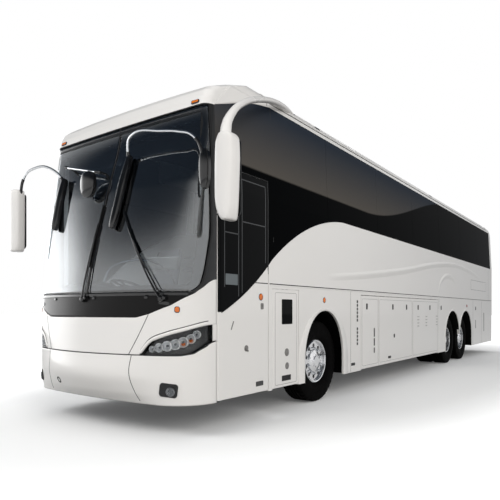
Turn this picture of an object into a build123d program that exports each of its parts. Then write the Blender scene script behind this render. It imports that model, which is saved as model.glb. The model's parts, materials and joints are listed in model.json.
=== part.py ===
"""Coach bus: hollow body with doors, glass, axles, steered front wheels, twin drive wheels and tag wheels.

Millimetres. +Z is up, the front of the coach faces -Y, and its own left side, with the entrance
door, is +X. The origin is on the ground under the middle of the body.
"""
from build123d import *
from math import atan2, cos, pi, sin
import os

os.makedirs("parts", exist_ok=True)

# Driving dimensions of the body
LENGTH = 13700
WIDTH = 2550
ROOF_Z = 3790
SKIRT_Z = 315
CANT = 270
GLASS_BAND = 1065
GLASS_LEAN = 50
CAP_RISE = 290
WALL = 50
GLASS = 10
NOSE_DEPTH = 660
SCREEN_BASE_Z = 1375
CROWN_HALF = 1050
CROWN_DROP = 80
REAR_CORNER = 180
REAR_LEAN = 130
TAIL_BREAK_Z = 2000
TAIL_DROP = 460
TAIL_CROWN = 750

HALF = WIDTH / 2
FRONT_Y = -LENGTH / 2
REAR_Y = LENGTH / 2
NOSE_Y = FRONT_Y + NOSE_DEPTH
TAIL_Y = REAR_Y - REAR_CORNER - 60
TOP_HALF = HALF - GLASS_LEAN
GLASS_TOP_Z = ROOF_Z - CANT
BELT_Z = GLASS_TOP_Z - GLASS_BAND
SCREEN_TOP_Z = GLASS_TOP_Z - CAP_RISE
TAIL_TOP_Z = ROOF_Z - TAIL_DROP

# Plan of the nose at each height: height, depth ahead of the straight sides, corner radius, set-back
NOSE = [
    (SKIRT_Z, 500, 450, 0),
    (430, 600, 480, 0),
    (600, NOSE_DEPTH, 500, 0),
    (790, NOSE_DEPTH - 30, 500, 0),
    (1370, NOSE_DEPTH - 98, 460, 0),
    (BELT_Z, 304, 250, 0),
    (SCREEN_TOP_Z, 120, 100, 0),
    (SCREEN_TOP_Z + 80, 130, 100, 20),
    (SCREEN_TOP_Z + 160, 140, 110, 70),
    (SCREEN_TOP_Z + 220, 160, 120, 150),
    (SCREEN_TOP_Z + 320, 200, 150, 420),
    (SCREEN_TOP_Z + 450, 260, 200, 850),
    (ROOF_Z + 20, 300, 250, 1500),
]
CAP_CORNER_Y = NOSE_Y + 390
CAP_END_Y = NOSE_Y + 940

# Front view: upper edge of the bumper and lower edge of the black cowl, from the middle outwards
BUMPER_EDGE = [(1130, 790), (1205, 806), (1256, 866), (HALF + 15, 950)]
COWL_EDGE = [(700, 1148), (842, 1183), (1050, 1265), (1203, SCREEN_BASE_Z)]
PILLAR_FOOT = [(1203, SCREEN_BASE_Z), (1247, 1441), (HALF + 15, 1560)]
SCREEN_EDGE = [(1190, SCREEN_BASE_Z + 12), (1238, 1465), (1258, 1700), (1268, 2000), (1260, 2577),
               (1226, SCREEN_TOP_Z - 14)]
LAMP_EDGE = [(765, 800), (870, 915), (1049, 981), (1183, 1030), (HALF + 15, 1085),
             (HALF + 15, 960), (1250, 875), (1198, 815), (1130, 800)]
# Fog lamp: x, z, width, height
FOG_LAMP = (1070, 450, 110, 80)

# Towing socket in the bumper, behind a round recess
TOW_X = -450
TOW_Z = 470
TOW_Y = FRONT_Y + 190
TOW_LENGTH = 110
TOW_R = 20
TOW_BOSS_R = 46
TOW_RIM = 12

# Side glass: its lower edge swoops down to the front corner. Distance behind the nose, drop below the belt
SWOOP = [(0, 1298), (645, 942), (977, 669), (1660, 271), (2790, 0)]
GLASS_REAR_Y = REAR_Y - 370
FIRST_SEAM_Y = NOSE_Y + 2330
PANES = 6
PANE = (GLASS_REAR_Y - FIRST_SEAM_Y) / PANES
SEAM = 6
PILLAR = 120
GLASS_FRAME = 60
CUT_IN = 250
CUT_DEPTH = 300

# Wheels and axles
FRONT_OVERHANG = 2900
REAR_OVERHANG = 4520
TAG_SPACING = 1220
TYRE_R = 538
TYRE_W = 315
TYRE_SIDES = 48
BEAD = 12
RIM_R = 286
RIM_W = 229
TWIN_PITCH = 345
WHEEL_IN = 100
FRONT_AXLE_Y = FRONT_Y + FRONT_OVERHANG
DRIVE_AXLE_Y = REAR_Y - REAR_OVERHANG
TAG_AXLE_Y = DRIVE_AXLE_Y + TAG_SPACING
WHEEL_X = HALF - WHEEL_IN - TYRE_W / 2
KINGPIN_X = 880
KINGPIN_R = 28
SPINDLE_R = 60
HUB_R = 145
ARCH_FRONT_R = 665
ARCH_REAR_R = 612
ARCH_Z = 560
ARCH_REAR_Z = 603

# Entrance door and hinge pins
DOOR_LENGTH = 900
DOOR_REAR_Y = NOSE_Y + DOOR_LENGTH
DOOR_TOP_Z = BELT_Z + 205
DOOR_GAP = 10
DOOR_SILL_Z = SKIRT_Z + 15
PIN_R = 6
PIN_FIT = 0.3
SEAT_FIT = 0.3
PIN_LENGTH = 45
HINGE_IN = WALL / 2
LUG = 6

# Floors and frame
FLOOR_Z = 1450
FLOOR = 50
CAB_FLOOR_Z = 950
CAB_REAR_Y = NOSE_Y + 1440
BAY_FLOOR_Z = 440
BAY_FLOOR = 40
BAY_FRONT_Y = FRONT_AXLE_Y + ARCH_FRONT_R + 55
BAY_REAR_Y = DRIVE_AXLE_Y - ARCH_REAR_R - 28
PLATE = 40
RAIL_X = 430
RAIL_W = 80
RAIL_LOW_Z = 780
RAIL_HIGH_Z = CAB_FLOOR_Z - FLOOR
CLEAR = 10

# Luggage bay doors, the same on both sides: one short door and two long ones, front and rear edge
BAY_SHORT = 680
BAY_START_Y = FRONT_AXLE_Y + ARCH_FRONT_R + 495
BAY_END_Y = DRIVE_AXLE_Y - ARCH_REAR_R - 538
BAY_LONG = (BAY_END_Y - BAY_START_Y - BAY_SHORT) / 2
BAYS = [(BAY_START_Y, BAY_START_Y + BAY_SHORT),
        (BAY_START_Y + BAY_SHORT, BAY_START_Y + BAY_SHORT + BAY_LONG),
        (BAY_START_Y + BAY_SHORT + BAY_LONG, BAY_END_Y)]
BAY_TOP_Z = FLOOR_Z
BAY_GAP = 12

# Service door behind the entrance, and engine door in the tail
SERVICE = (DOOR_REAR_Y + 85, FRONT_AXLE_Y - ARCH_FRONT_R - 25)
SERVICE_TOP_Z = 1460
ENGINE_HALF = 880
ENGINE_LOW_Z = 720
ENGINE_TOP_Z = 1940
# Rear glass: width, lower edge, upper edge. Tail lamp: x, z, width, height, corner radius
REAR_GLASS = (1950, 2150, TAIL_TOP_Z - 90)
TAIL_LAMP = (1000, 1150, 110, 480, 40)


def half_width(z):
    """Half the body's width at a height: upright to the belt, then leaning in."""
    if z <= BELT_Z:
        return HALF
    return HALF - GLASS_LEAN * min(1, (z - BELT_Z) / (GLASS_TOP_Z - BELT_Z))


def nose_plan(z):
    """Depth of the nose, its corner radius and its set-back at a height."""
    for low, high in zip(NOSE, NOSE[1:]):
        if z <= high[0]:
            t = (z - low[0]) / (high[0] - low[0])
            return [a + t * (b - a) for a, b in zip(low[1:], high[1:])]
    return NOSE[-1][1:]


def nose_arcs(depth, radius, half):
    """Radius of the front arc and the angle at which the corner arc takes over."""
    front = ((half - radius) ** 2 + depth ** 2 - radius ** 2) / (2 * (depth - radius))
    return front, atan2(half - radius, front - depth)


def nose_y(x, z):
    """Y of the nose's outer face at a distance from the middle and a height."""
    depth, radius, back = nose_plan(z)
    half = half_width(z)
    front, turn = nose_arcs(depth, radius, half)
    if abs(x) <= front * sin(turn):
        return NOSE_Y + back - depth + front - (front ** 2 - x ** 2) ** 0.5
    inside = min(radius, abs(x) - half + radius)
    return NOSE_Y + back - (radius ** 2 - inside ** 2) ** 0.5


def body_plan(z, depth, radius, back, inset):
    """Closed plan outline of the body at one height, set in all round."""
    half = half_width(z) - inset
    depth, radius = depth - inset, radius - inset
    start = NOSE_Y + back
    front, turn = nose_arcs(depth, radius, half)
    middle = (turn + pi / 2) / 2
    near = (half - radius + radius * sin(turn), start - radius * cos(turn))
    between = (half - radius + radius * sin(middle), start - radius * cos(middle))
    rear = REAR_Y - inset
    corner = REAR_CORNER - inset
    bend = corner * (1 - cos(pi / 4))
    with BuildSketch(Plane.XY.offset(z - inset if back else z)) as outline:
        with BuildLine():
            ThreePointArc((-near[0], near[1]), (0, start - depth), near)
            for side in (1, -1):
                ThreePointArc((side * near[0], near[1]), (side * between[0], between[1]),
                              (side * half, start))
                Line((side * half, start), (side * half, rear - corner))
                ThreePointArc((side * half, rear - corner), (side * (half - bend), rear - bend),
                              (side * (half - corner), rear))
            Line((half - corner, rear), (corner - half, rear))
        make_face()
    return outline.sketch


def envelope(inset):
    """Solid outer form of the body, set in by one wall thickness."""
    floor = SKIRT_Z - 200
    ahead = FRONT_Y - 150
    crown = ROOF_Z - CROWN_DROP
    slope = atan2(2 * CROWN_DROP / CROWN_HALF, 1)
    with BuildPart() as form:
        for z, depth, radius, back in NOSE:
            add(body_plan(z, depth, radius, back, inset))
        loft(ruled=True)
        with BuildSketch(Plane.XZ):
            with BuildLine():
                Polyline((-TOP_HALF, GLASS_TOP_Z), (-HALF, BELT_Z), (-HALF, floor), (HALF, floor),
                         (HALF, BELT_Z), (TOP_HALF, GLASS_TOP_Z))
                for side in (1, -1):
                    TangentArc((side * CROWN_HALF, crown), (side * TOP_HALF, GLASS_TOP_Z),
                               tangent=(side * cos(slope), -sin(slope)))
                ThreePointArc((-CROWN_HALF, crown), (0, ROOF_Z), (CROWN_HALF, crown))
            make_face()
            if inset:
                offset(amount=-inset)
        extrude(amount=LENGTH, both=True, mode=Mode.INTERSECT)
        with BuildSketch(Plane.YZ):
            with BuildLine():
                Polyline((REAR_Y - TAIL_CROWN, ROOF_Z), (ahead, ROOF_Z), (ahead, floor), (REAR_Y, floor),
                         (REAR_Y, TAIL_BREAK_Z), (REAR_Y - REAR_LEAN, TAIL_TOP_Z))
                TangentArc((REAR_Y - TAIL_CROWN, ROOF_Z), (REAR_Y - REAR_LEAN, TAIL_TOP_Z), tangent=(1, 0))
            make_face()
            if inset:
                offset(amount=-inset)
        extrude(amount=WIDTH, both=True, mode=Mode.INTERSECT)
    return form.part


OUTER = envelope(0)
BEHIND_GLASS = envelope(GLASS)
INNER = envelope(WALL)
SHELL = OUTER - INNER
SKIN = OUTER - BEHIND_GLASS
FITTED = envelope(WALL + CLEAR)


def side_plane(side):
    """Upright plane inside one side wall, from which cuts run outwards."""
    return Plane((side * (HALF - CUT_IN), 0, 0), x_dir=(0, 1, 0) if side > 0 else (0, -1, 0),
                 z_dir=(side, 0, 0))


def across(side, y):
    """A Y value in the sketch axes of side_plane."""
    return side * y


def side_panel(side, y0, y1, z0, z1, mode=Mode.ADD):
    """Rectangle sketched on side_plane."""
    with Locations((across(side, (y0 + y1) / 2), (z0 + z1) / 2)):
        Rectangle(y1 - y0, z1 - z0, mode=mode)


def glass_outline(side, front_y):
    """Face of the whole glass band on one side, from front_y to the rear quarter."""
    start, a, b, c, d = [(across(side, NOSE_Y + back), BELT_Z - drop) for back, drop in SWOOP]
    with BuildSketch() as band:
        with BuildLine():
            ThreePointArc(start, a, b)
            ThreePointArc(b, c, d)
            Polyline(d, (across(side, GLASS_REAR_Y), BELT_Z), (across(side, GLASS_REAR_Y), GLASS_TOP_Z),
                     (across(side, CAP_CORNER_Y), GLASS_TOP_Z), (across(side, NOSE_Y), SCREEN_TOP_Z), start)
        make_face()
        if front_y > NOSE_Y:
            with Locations((across(side, (NOSE_Y + front_y) / 2), DOOR_TOP_Z - LENGTH / 2)):
                Rectangle(front_y - NOSE_Y, LENGTH, mode=Mode.SUBTRACT)
    return band.sketch


def front_view(points):
    """Closed outline drawn in the front view, mirrored about the middle."""
    with BuildSketch() as outline:
        with BuildLine():
            Polyline(*points, *[(-x, z) for x, z in reversed(points)], close=True)
        make_face()
    return outline.sketch


def front_panel(points):
    """Closed outline drawn once on each side of the front view."""
    with BuildSketch() as outlines:
        for side in (1, -1):
            with BuildLine():
                Polyline(*[(side * x, z) for x, z in points], close=True)
            make_face()
    return outlines.sketch


NOSE_PLANE = Plane.XZ.offset(-NOSE_Y)
UNDER = SKIRT_Z - 20
OVER = ROOF_Z + 20


with BuildPart() as front_bumper:
    add(SHELL)
    with BuildSketch(NOSE_PLANE):
        add(front_view([(HALF + 15, UNDER)] + BUMPER_EDGE[::-1]))
    extrude(amount=NOSE_DEPTH + 50, mode=Mode.INTERSECT)
    with BuildSketch(Plane.XZ.offset(-TOW_Y)):
        with Locations((TOW_X, TOW_Z)):
            Circle(TOW_BOSS_R)
    extrude(amount=TOW_LENGTH + WALL)
    add(OUTER, mode=Mode.INTERSECT)
    with BuildSketch(Plane.XZ.offset(-TOW_Y)):
        with Locations((TOW_X, TOW_Z)):
            Circle(TOW_R)
    extrude(amount=TOW_LENGTH, mode=Mode.SUBTRACT)
    with BuildSketch(Plane.XZ.offset(-TOW_Y + TOW_LENGTH)):
        with Locations((TOW_X, TOW_Z)):
            Circle(TOW_BOSS_R - TOW_RIM)
    extrude(amount=NOSE_DEPTH, mode=Mode.SUBTRACT)
    with BuildSketch(NOSE_PLANE):
        with Locations((FOG_LAMP[0], FOG_LAMP[1]), (-FOG_LAMP[0], FOG_LAMP[1])):
            RectangleRounded(FOG_LAMP[2], FOG_LAMP[3], FOG_LAMP[3] / 3)
    extrude(amount=NOSE_DEPTH + 50, mode=Mode.SUBTRACT)
front_bumper.part.label = "front_bumper"
export_step(front_bumper.part, "parts/front_bumper.step")

with BuildPart() as front_mask:
    add(SHELL)
    with BuildSketch(NOSE_PLANE):
        add(front_view(BUMPER_EDGE + PILLAR_FOOT[::-1] + COWL_EDGE[::-1][1:]))
    extrude(amount=NOSE_DEPTH + 50, mode=Mode.INTERSECT)
    with BuildSketch(NOSE_PLANE):
        add(front_panel(LAMP_EDGE))
    extrude(amount=NOSE_DEPTH + 50, mode=Mode.SUBTRACT)
front_mask.part.label = "front_mask"
export_step(front_mask.part, "parts/front_mask.step")

with BuildPart() as headlamps:
    add(SHELL)
    with BuildSketch(NOSE_PLANE):
        add(front_panel(LAMP_EDGE))
        offset(amount=-SEAT_FIT)
        with Locations((FOG_LAMP[0], FOG_LAMP[1]), (-FOG_LAMP[0], FOG_LAMP[1])):
            RectangleRounded(FOG_LAMP[2] - 2 * SEAT_FIT, FOG_LAMP[3] - 2 * SEAT_FIT, FOG_LAMP[3] / 3 - SEAT_FIT)
    extrude(amount=NOSE_DEPTH + 50, mode=Mode.INTERSECT)
headlamps.part.label = "headlamps"
export_step(headlamps.part, "parts/headlamps.step")

with BuildPart() as cowl_panel:
    add(SHELL)
    with BuildSketch(NOSE_PLANE):
        add(front_view(COWL_EDGE))
    extrude(amount=NOSE_DEPTH + 50, mode=Mode.INTERSECT)
cowl_panel.part.label = "cowl_panel"
export_step(cowl_panel.part, "parts/cowl_panel.step")

with BuildPart() as front_pillars:
    add(SHELL)
    with BuildSketch(NOSE_PLANE):
        add(front_view(PILLAR_FOOT + [(HALF + 15, SCREEN_TOP_Z)]))
    extrude(amount=NOSE_DEPTH, mode=Mode.INTERSECT)
    with BuildSketch(NOSE_PLANE):
        add(front_view(SCREEN_EDGE))
        offset(amount=-70, kind=Kind.INTERSECTION)
    extrude(amount=NOSE_DEPTH, mode=Mode.SUBTRACT)
    with BuildPart(mode=Mode.SUBTRACT):
        add(SKIN)
        with BuildSketch(NOSE_PLANE):
            add(front_view(SCREEN_EDGE))
        extrude(amount=NOSE_DEPTH, mode=Mode.INTERSECT)
front_pillars.part.label = "front_pillars"
export_step(front_pillars.part, "parts/front_pillars.step")

with BuildPart() as windshield:
    add(SKIN)
    with BuildSketch(NOSE_PLANE):
        add(front_view(SCREEN_EDGE))
        offset(amount=-3, kind=Kind.INTERSECTION)
        with Locations((0, (SCREEN_BASE_Z + SCREEN_TOP_Z) / 2)):
            Rectangle(SEAM, SCREEN_TOP_Z, mode=Mode.SUBTRACT)
    extrude(amount=NOSE_DEPTH, mode=Mode.INTERSECT)
windshield.part.label = "windshield"
export_step(windshield.part, "parts/windshield.step")

with BuildPart() as roof_front_cap:
    add(SHELL)
    with BuildSketch(Plane.YZ):
        with BuildLine():
            Polyline((FRONT_Y, SCREEN_TOP_Z), (NOSE_Y, SCREEN_TOP_Z), (CAP_CORNER_Y, GLASS_TOP_Z),
                     (CAP_END_Y, GLASS_TOP_Z), (CAP_END_Y, OVER), (FRONT_Y, OVER), close=True)
        make_face()
    extrude(amount=HALF + 50, both=True, mode=Mode.INTERSECT)
roof_front_cap.part.label = "roof_front_cap"
export_step(roof_front_cap.part, "parts/roof_front_cap.step")

with BuildPart() as roof:
    add(SHELL)
    with BuildSketch(Plane.YZ):
        with BuildLine():
            Polyline((CAP_END_Y, GLASS_TOP_Z), (REAR_Y, GLASS_TOP_Z), (REAR_Y, OVER),
                     (CAP_END_Y, OVER), close=True)
        make_face()
    extrude(amount=HALF + 50, both=True, mode=Mode.INTERSECT)
roof.part.label = "roof"
export_step(roof.part, "parts/roof.step")

with BuildPart() as rear_wall:
    add(SHELL)
    with BuildSketch(Plane.XZ.offset(-TAIL_Y)):
        with Locations((0, (SKIRT_Z + GLASS_TOP_Z) / 2)):
            Rectangle(WIDTH + 100, GLASS_TOP_Z - SKIRT_Z)
        with Locations((0, (ENGINE_LOW_Z + ENGINE_TOP_Z) / 2)):
            Rectangle(2 * (ENGINE_HALF + DOOR_GAP), ENGINE_TOP_Z - ENGINE_LOW_Z + 2 * DOOR_GAP,
                      mode=Mode.SUBTRACT)
        for side in (1, -1):
            with Locations((side * TAIL_LAMP[0], TAIL_LAMP[1])):
                RectangleRounded(TAIL_LAMP[2], TAIL_LAMP[3], TAIL_LAMP[4], mode=Mode.SUBTRACT)
        with Locations((0, (REAR_GLASS[1] + REAR_GLASS[2]) / 2)):
            RectangleRounded(REAR_GLASS[0] - 140, REAR_GLASS[2] - REAR_GLASS[1] - 140, 80,
                             mode=Mode.SUBTRACT)
    extrude(amount=-(REAR_Y - TAIL_Y) - 10, mode=Mode.INTERSECT)
    with BuildPart(mode=Mode.SUBTRACT):
        add(SKIN)
        with BuildSketch(Plane.XZ.offset(-TAIL_Y)):
            with Locations((0, (REAR_GLASS[1] + REAR_GLASS[2]) / 2)):
                RectangleRounded(REAR_GLASS[0], REAR_GLASS[2] - REAR_GLASS[1], 100)
        extrude(amount=-(REAR_Y - TAIL_Y) - 10, mode=Mode.INTERSECT)
    for side in (1, -1):
        with BuildSketch(Plane.YZ.offset(side * (ENGINE_HALF + DOOR_GAP))):
            with Locations((REAR_Y - HINGE_IN, ENGINE_TOP_Z - HINGE_IN)):
                Circle(PIN_R)
        extrude(amount=-side * (DOOR_GAP + PIN_LENGTH))
rear_wall.part.label = "rear_wall"
export_step(rear_wall.part, "parts/rear_wall.step")

with BuildPart() as rear_glass:
    add(SKIN)
    with BuildSketch(Plane.XZ.offset(-TAIL_Y)):
        with Locations((0, (REAR_GLASS[1] + REAR_GLASS[2]) / 2)):
            RectangleRounded(REAR_GLASS[0] - 6, REAR_GLASS[2] - REAR_GLASS[1] - 6, 97)
    extrude(amount=-(REAR_Y - TAIL_Y) - 10, mode=Mode.INTERSECT)
rear_glass.part.label = "rear_glass"
export_step(rear_glass.part, "parts/rear_glass.step")

with BuildPart() as tail_lamps:
    add(SHELL)
    with BuildSketch(Plane.XZ.offset(-TAIL_Y)):
        for side in (1, -1):
            with Locations((side * TAIL_LAMP[0], TAIL_LAMP[1])):
                RectangleRounded(TAIL_LAMP[2] - 2 * SEAT_FIT, TAIL_LAMP[3] - 2 * SEAT_FIT,
                                 TAIL_LAMP[4] - SEAT_FIT)
    extrude(amount=-(REAR_Y - TAIL_Y) - 10, mode=Mode.INTERSECT)
tail_lamps.part.label = "tail_lamps"
export_step(tail_lamps.part, "parts/tail_lamps.step")

with BuildPart() as engine_door:
    add(SHELL)
    with BuildSketch(Plane.XZ.offset(-TAIL_Y)):
        with Locations((0, (ENGINE_LOW_Z + ENGINE_TOP_Z) / 2)):
            Rectangle(2 * ENGINE_HALF, ENGINE_TOP_Z - ENGINE_LOW_Z)
    extrude(amount=-(REAR_Y - TAIL_Y) - 10, mode=Mode.INTERSECT)
    with BuildSketch(Plane.YZ):
        with Locations((REAR_Y - HINGE_IN, ENGINE_TOP_Z - HINGE_IN)):
            Circle(HINGE_IN)
        with Locations((REAR_Y - HINGE_IN, (ENGINE_LOW_Z + ENGINE_TOP_Z - HINGE_IN) / 2)):
            Rectangle(2 * HINGE_IN, ENGINE_TOP_Z - HINGE_IN - ENGINE_LOW_Z)
        with Locations((REAR_Y - HINGE_IN, ENGINE_TOP_Z - HINGE_IN)):
            Circle(PIN_R + PIN_FIT, mode=Mode.SUBTRACT)
    extrude(amount=ENGINE_HALF, both=True, mode=Mode.INTERSECT)
engine_door.part.label = "engine_door"
export_step(engine_door.part, "parts/engine_door.step")


def arch_cuts(side):
    """Wheel arches in one side wall."""
    with Locations((across(side, FRONT_AXLE_Y), ARCH_Z)):
        Circle(ARCH_FRONT_R)
    with Locations((across(side, FRONT_AXLE_Y), ARCH_Z / 2)):
        Rectangle(2 * ARCH_FRONT_R, ARCH_Z)
    for y in (DRIVE_AXLE_Y, TAG_AXLE_Y):
        with Locations((across(side, y), ARCH_REAR_Z)):
            Circle(ARCH_REAR_R)
        with Locations((across(side, y), ARCH_REAR_Z / 2)):
            Rectangle(2 * ARCH_REAR_R, ARCH_REAR_Z)


def wall_pin(x, y, z, along, length):
    """Hinge pin of one door, from its foot along a direction."""
    with Locations(Plane((x, y, z), z_dir=along)):
        Cylinder(PIN_R, length, align=(Align.CENTER, Align.CENTER, Align.MIN))


HINGE_X = HALF - HINGE_IN
BAY_HINGE_Z = BAY_TOP_Z - HINGE_IN

for side, name in ((1, "left"), (-1, "right")):
    door_y = DOOR_REAR_Y if side > 0 else NOSE_Y
    hinge_x = side * HINGE_X
    with BuildPart() as side_wall:
        add(SHELL)
        with BuildSketch(side_plane(side)):
            side_panel(side, NOSE_Y, TAIL_Y, SKIRT_Z, GLASS_TOP_Z)
            with BuildLine():
                Polyline((across(side, NOSE_Y), SCREEN_TOP_Z), (across(side, CAP_CORNER_Y), GLASS_TOP_Z),
                         (across(side, NOSE_Y), GLASS_TOP_Z), close=True)
            make_face(mode=Mode.SUBTRACT)
        extrude(amount=CUT_DEPTH, mode=Mode.INTERSECT)
        with BuildSketch(side_plane(side)):
            arch_cuts(side)
            side_panel(side, BAY_START_Y - BAY_GAP, BAY_END_Y + BAY_GAP, UNDER, BAY_TOP_Z + DOOR_GAP)
            if side > 0:
                side_panel(side, NOSE_Y - 10, DOOR_REAR_Y, UNDER, DOOR_TOP_Z)
                side_panel(side, SERVICE[0] - DOOR_GAP, SERVICE[1] + DOOR_GAP, UNDER,
                           SERVICE_TOP_Z + DOOR_GAP)
        extrude(amount=CUT_DEPTH, mode=Mode.SUBTRACT)
        with BuildPart(mode=Mode.SUBTRACT):
            add(SKIN)
            with BuildSketch(side_plane(side)):
                add(glass_outline(side, door_y))
            extrude(amount=CUT_DEPTH, mode=Mode.INTERSECT)
        with BuildSketch(side_plane(side)) as openings:
            add(glass_outline(side, door_y))
            offset(amount=-GLASS_FRAME, kind=Kind.INTERSECTION)
            for pane in range(PANES):
                with Locations((across(side, FIRST_SEAM_Y + pane * PANE), BELT_Z)):
                    Rectangle(PILLAR, LENGTH, mode=Mode.SUBTRACT)
        extrude(amount=CUT_DEPTH, mode=Mode.SUBTRACT)
        wall_pin(hinge_x, BAY_START_Y - BAY_GAP - 5, BAY_HINGE_Z, (0, 1, 0), BAY_GAP + PIN_LENGTH)
        wall_pin(hinge_x, BAY_END_Y + BAY_GAP + 5, BAY_HINGE_Z, (0, -1, 0), BAY_GAP + PIN_LENGTH)
        for (_, seam) in BAYS[:-1]:
            wall_pin(hinge_x, seam - PIN_LENGTH, BAY_HINGE_Z, (0, 1, 0), 2 * PIN_LENGTH)
            with BuildSketch(Plane.XZ.offset(-seam)):
                with Locations((hinge_x, BAY_HINGE_Z + HINGE_IN / 2 + 5)):
                    Rectangle(2 * HINGE_IN - 10, HINGE_IN + 30)
            extrude(amount=LUG / 2, both=True)
        if side > 0:
            wall_pin(hinge_x, NOSE_Y + DOOR_GAP + HINGE_IN, DOOR_TOP_Z, (0, 0, -1),
                     DOOR_GAP + PIN_LENGTH)
            wall_pin(hinge_x, SERVICE[0] + HINGE_IN, SERVICE_TOP_Z + DOOR_GAP + 5, (0, 0, -1),
                     DOOR_GAP + PIN_LENGTH)
    side_wall.part.label = f"side_wall_{name}"
    export_step(side_wall.part, f"parts/side_wall_{name}.step")

    with BuildPart() as side_glass:
        add(SKIN)
        with BuildSketch(side_plane(side)):
            add(glass_outline(side, door_y))
            offset(amount=-SEAM / 2, kind=Kind.INTERSECTION)
            for pane in range(PANES):
                with Locations((across(side, FIRST_SEAM_Y + pane * PANE), BELT_Z)):
                    Rectangle(SEAM, LENGTH, mode=Mode.SUBTRACT)
        extrude(amount=CUT_DEPTH, mode=Mode.INTERSECT)
    side_glass.part.label = f"side_glass_{name}"
    export_step(side_glass.part, f"parts/side_glass_{name}.step")

    for number, (front, rear) in enumerate(BAYS, start=1):
        front_gap = LUG / 2 + 3 if number > 1 else 0
        rear_gap = LUG / 2 + 3 if number < len(BAYS) else 0
        with BuildPart() as bay_door:
            add(SHELL)
            with BuildSketch(side_plane(side)):
                side_panel(side, front + front_gap, rear - rear_gap, DOOR_SILL_Z, BAY_TOP_Z)
            extrude(amount=CUT_DEPTH, mode=Mode.INTERSECT)
            with BuildSketch(Plane.XZ.offset(-front + 10)):
                with Locations((hinge_x, BAY_HINGE_Z)):
                    Circle(HINGE_IN)
                with Locations((hinge_x, BAY_HINGE_Z / 2)):
                    Rectangle(2 * HINGE_IN, BAY_HINGE_Z)
                with Locations((hinge_x, BAY_HINGE_Z)):
                    Circle(PIN_R + PIN_FIT, mode=Mode.SUBTRACT)
            extrude(amount=front - rear - 20, mode=Mode.INTERSECT)
        bay_door.part.label = f"bay_door_{name}_{number}"
        export_step(bay_door.part, f"parts/bay_door_{name}_{number}.step")

ENTRANCE_AXIS_Y = NOSE_Y + DOOR_GAP + HINGE_IN
LEAF_GLASS_Y = ENTRANCE_AXIS_Y + HINGE_IN + DOOR_GAP
SERVICE_AXIS_Y = SERVICE[0] + HINGE_IN


def upright_leaf(axis_y, rear_y):
    """Plan of a leaf with its leading edge rounded about the hinge pin, bored for the pin."""
    with Locations((HINGE_X, axis_y)):
        Circle(HINGE_IN)
    with Locations((HINGE_X - HINGE_IN, (axis_y + rear_y) / 2)):
        Rectangle(4 * HINGE_IN, rear_y - axis_y)
    with Locations((HINGE_X, axis_y)):
        Circle(PIN_R + PIN_FIT, mode=Mode.SUBTRACT)


with BuildPart() as entrance_door:
    add(SHELL)
    with BuildSketch(side_plane(1)):
        side_panel(1, NOSE_Y + DOOR_GAP, DOOR_REAR_Y - DOOR_GAP, DOOR_SILL_Z, DOOR_TOP_Z - DOOR_GAP)
    extrude(amount=CUT_DEPTH, mode=Mode.INTERSECT)
    with BuildSketch(Plane.XY):
        upright_leaf(ENTRANCE_AXIS_Y, DOOR_REAR_Y - DOOR_GAP)
    extrude(amount=ROOF_Z, mode=Mode.INTERSECT)
    with BuildPart(mode=Mode.SUBTRACT):
        add(SKIN)
        with BuildSketch(side_plane(1)):
            add(glass_outline(1, NOSE_Y))
            side_panel(1, NOSE_Y - 1, LEAF_GLASS_Y, 0, ROOF_Z, Mode.SUBTRACT)
        extrude(amount=CUT_DEPTH, mode=Mode.INTERSECT)
    with BuildSketch(side_plane(1)):
        add(glass_outline(1, NOSE_Y))
        side_panel(1, ENTRANCE_AXIS_Y + DOOR_GAP, DOOR_REAR_Y - DOOR_GAP, DOOR_GAP, DOOR_TOP_Z - DOOR_GAP,
                   Mode.INTERSECT)
        offset(amount=-GLASS_FRAME, kind=Kind.INTERSECTION)
    extrude(amount=CUT_DEPTH, mode=Mode.SUBTRACT)
entrance_door.part.label = "entrance_door"
export_step(entrance_door.part, "parts/entrance_door.step")

with BuildPart() as entrance_door_glass:
    add(SKIN)
    with BuildSketch(side_plane(1)):
        add(glass_outline(1, NOSE_Y))
        side_panel(1, LEAF_GLASS_Y, DOOR_REAR_Y - DOOR_GAP, DOOR_GAP, DOOR_TOP_Z - DOOR_GAP, Mode.INTERSECT)
        offset(amount=-SEAM / 2, kind=Kind.INTERSECTION)
    extrude(amount=CUT_DEPTH, mode=Mode.INTERSECT)
entrance_door_glass.part.label = "entrance_door_glass"
export_step(entrance_door_glass.part, "parts/entrance_door_glass.step")

with BuildPart() as service_door:
    add(SHELL)
    with BuildSketch(side_plane(1)):
        side_panel(1, SERVICE[0], SERVICE[1], DOOR_SILL_Z, SERVICE_TOP_Z)
    extrude(amount=CUT_DEPTH, mode=Mode.INTERSECT)
    with BuildSketch(Plane.XY):
        upright_leaf(SERVICE_AXIS_Y, SERVICE[1])
    extrude(amount=ROOF_Z, mode=Mode.INTERSECT)
service_door.part.label = "service_door_left"
export_step(service_door.part, "parts/service_door_left.step")

# Floors, steps and bulkheads inside the shell
FLOOR_HALF = HALF - WALL

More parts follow.
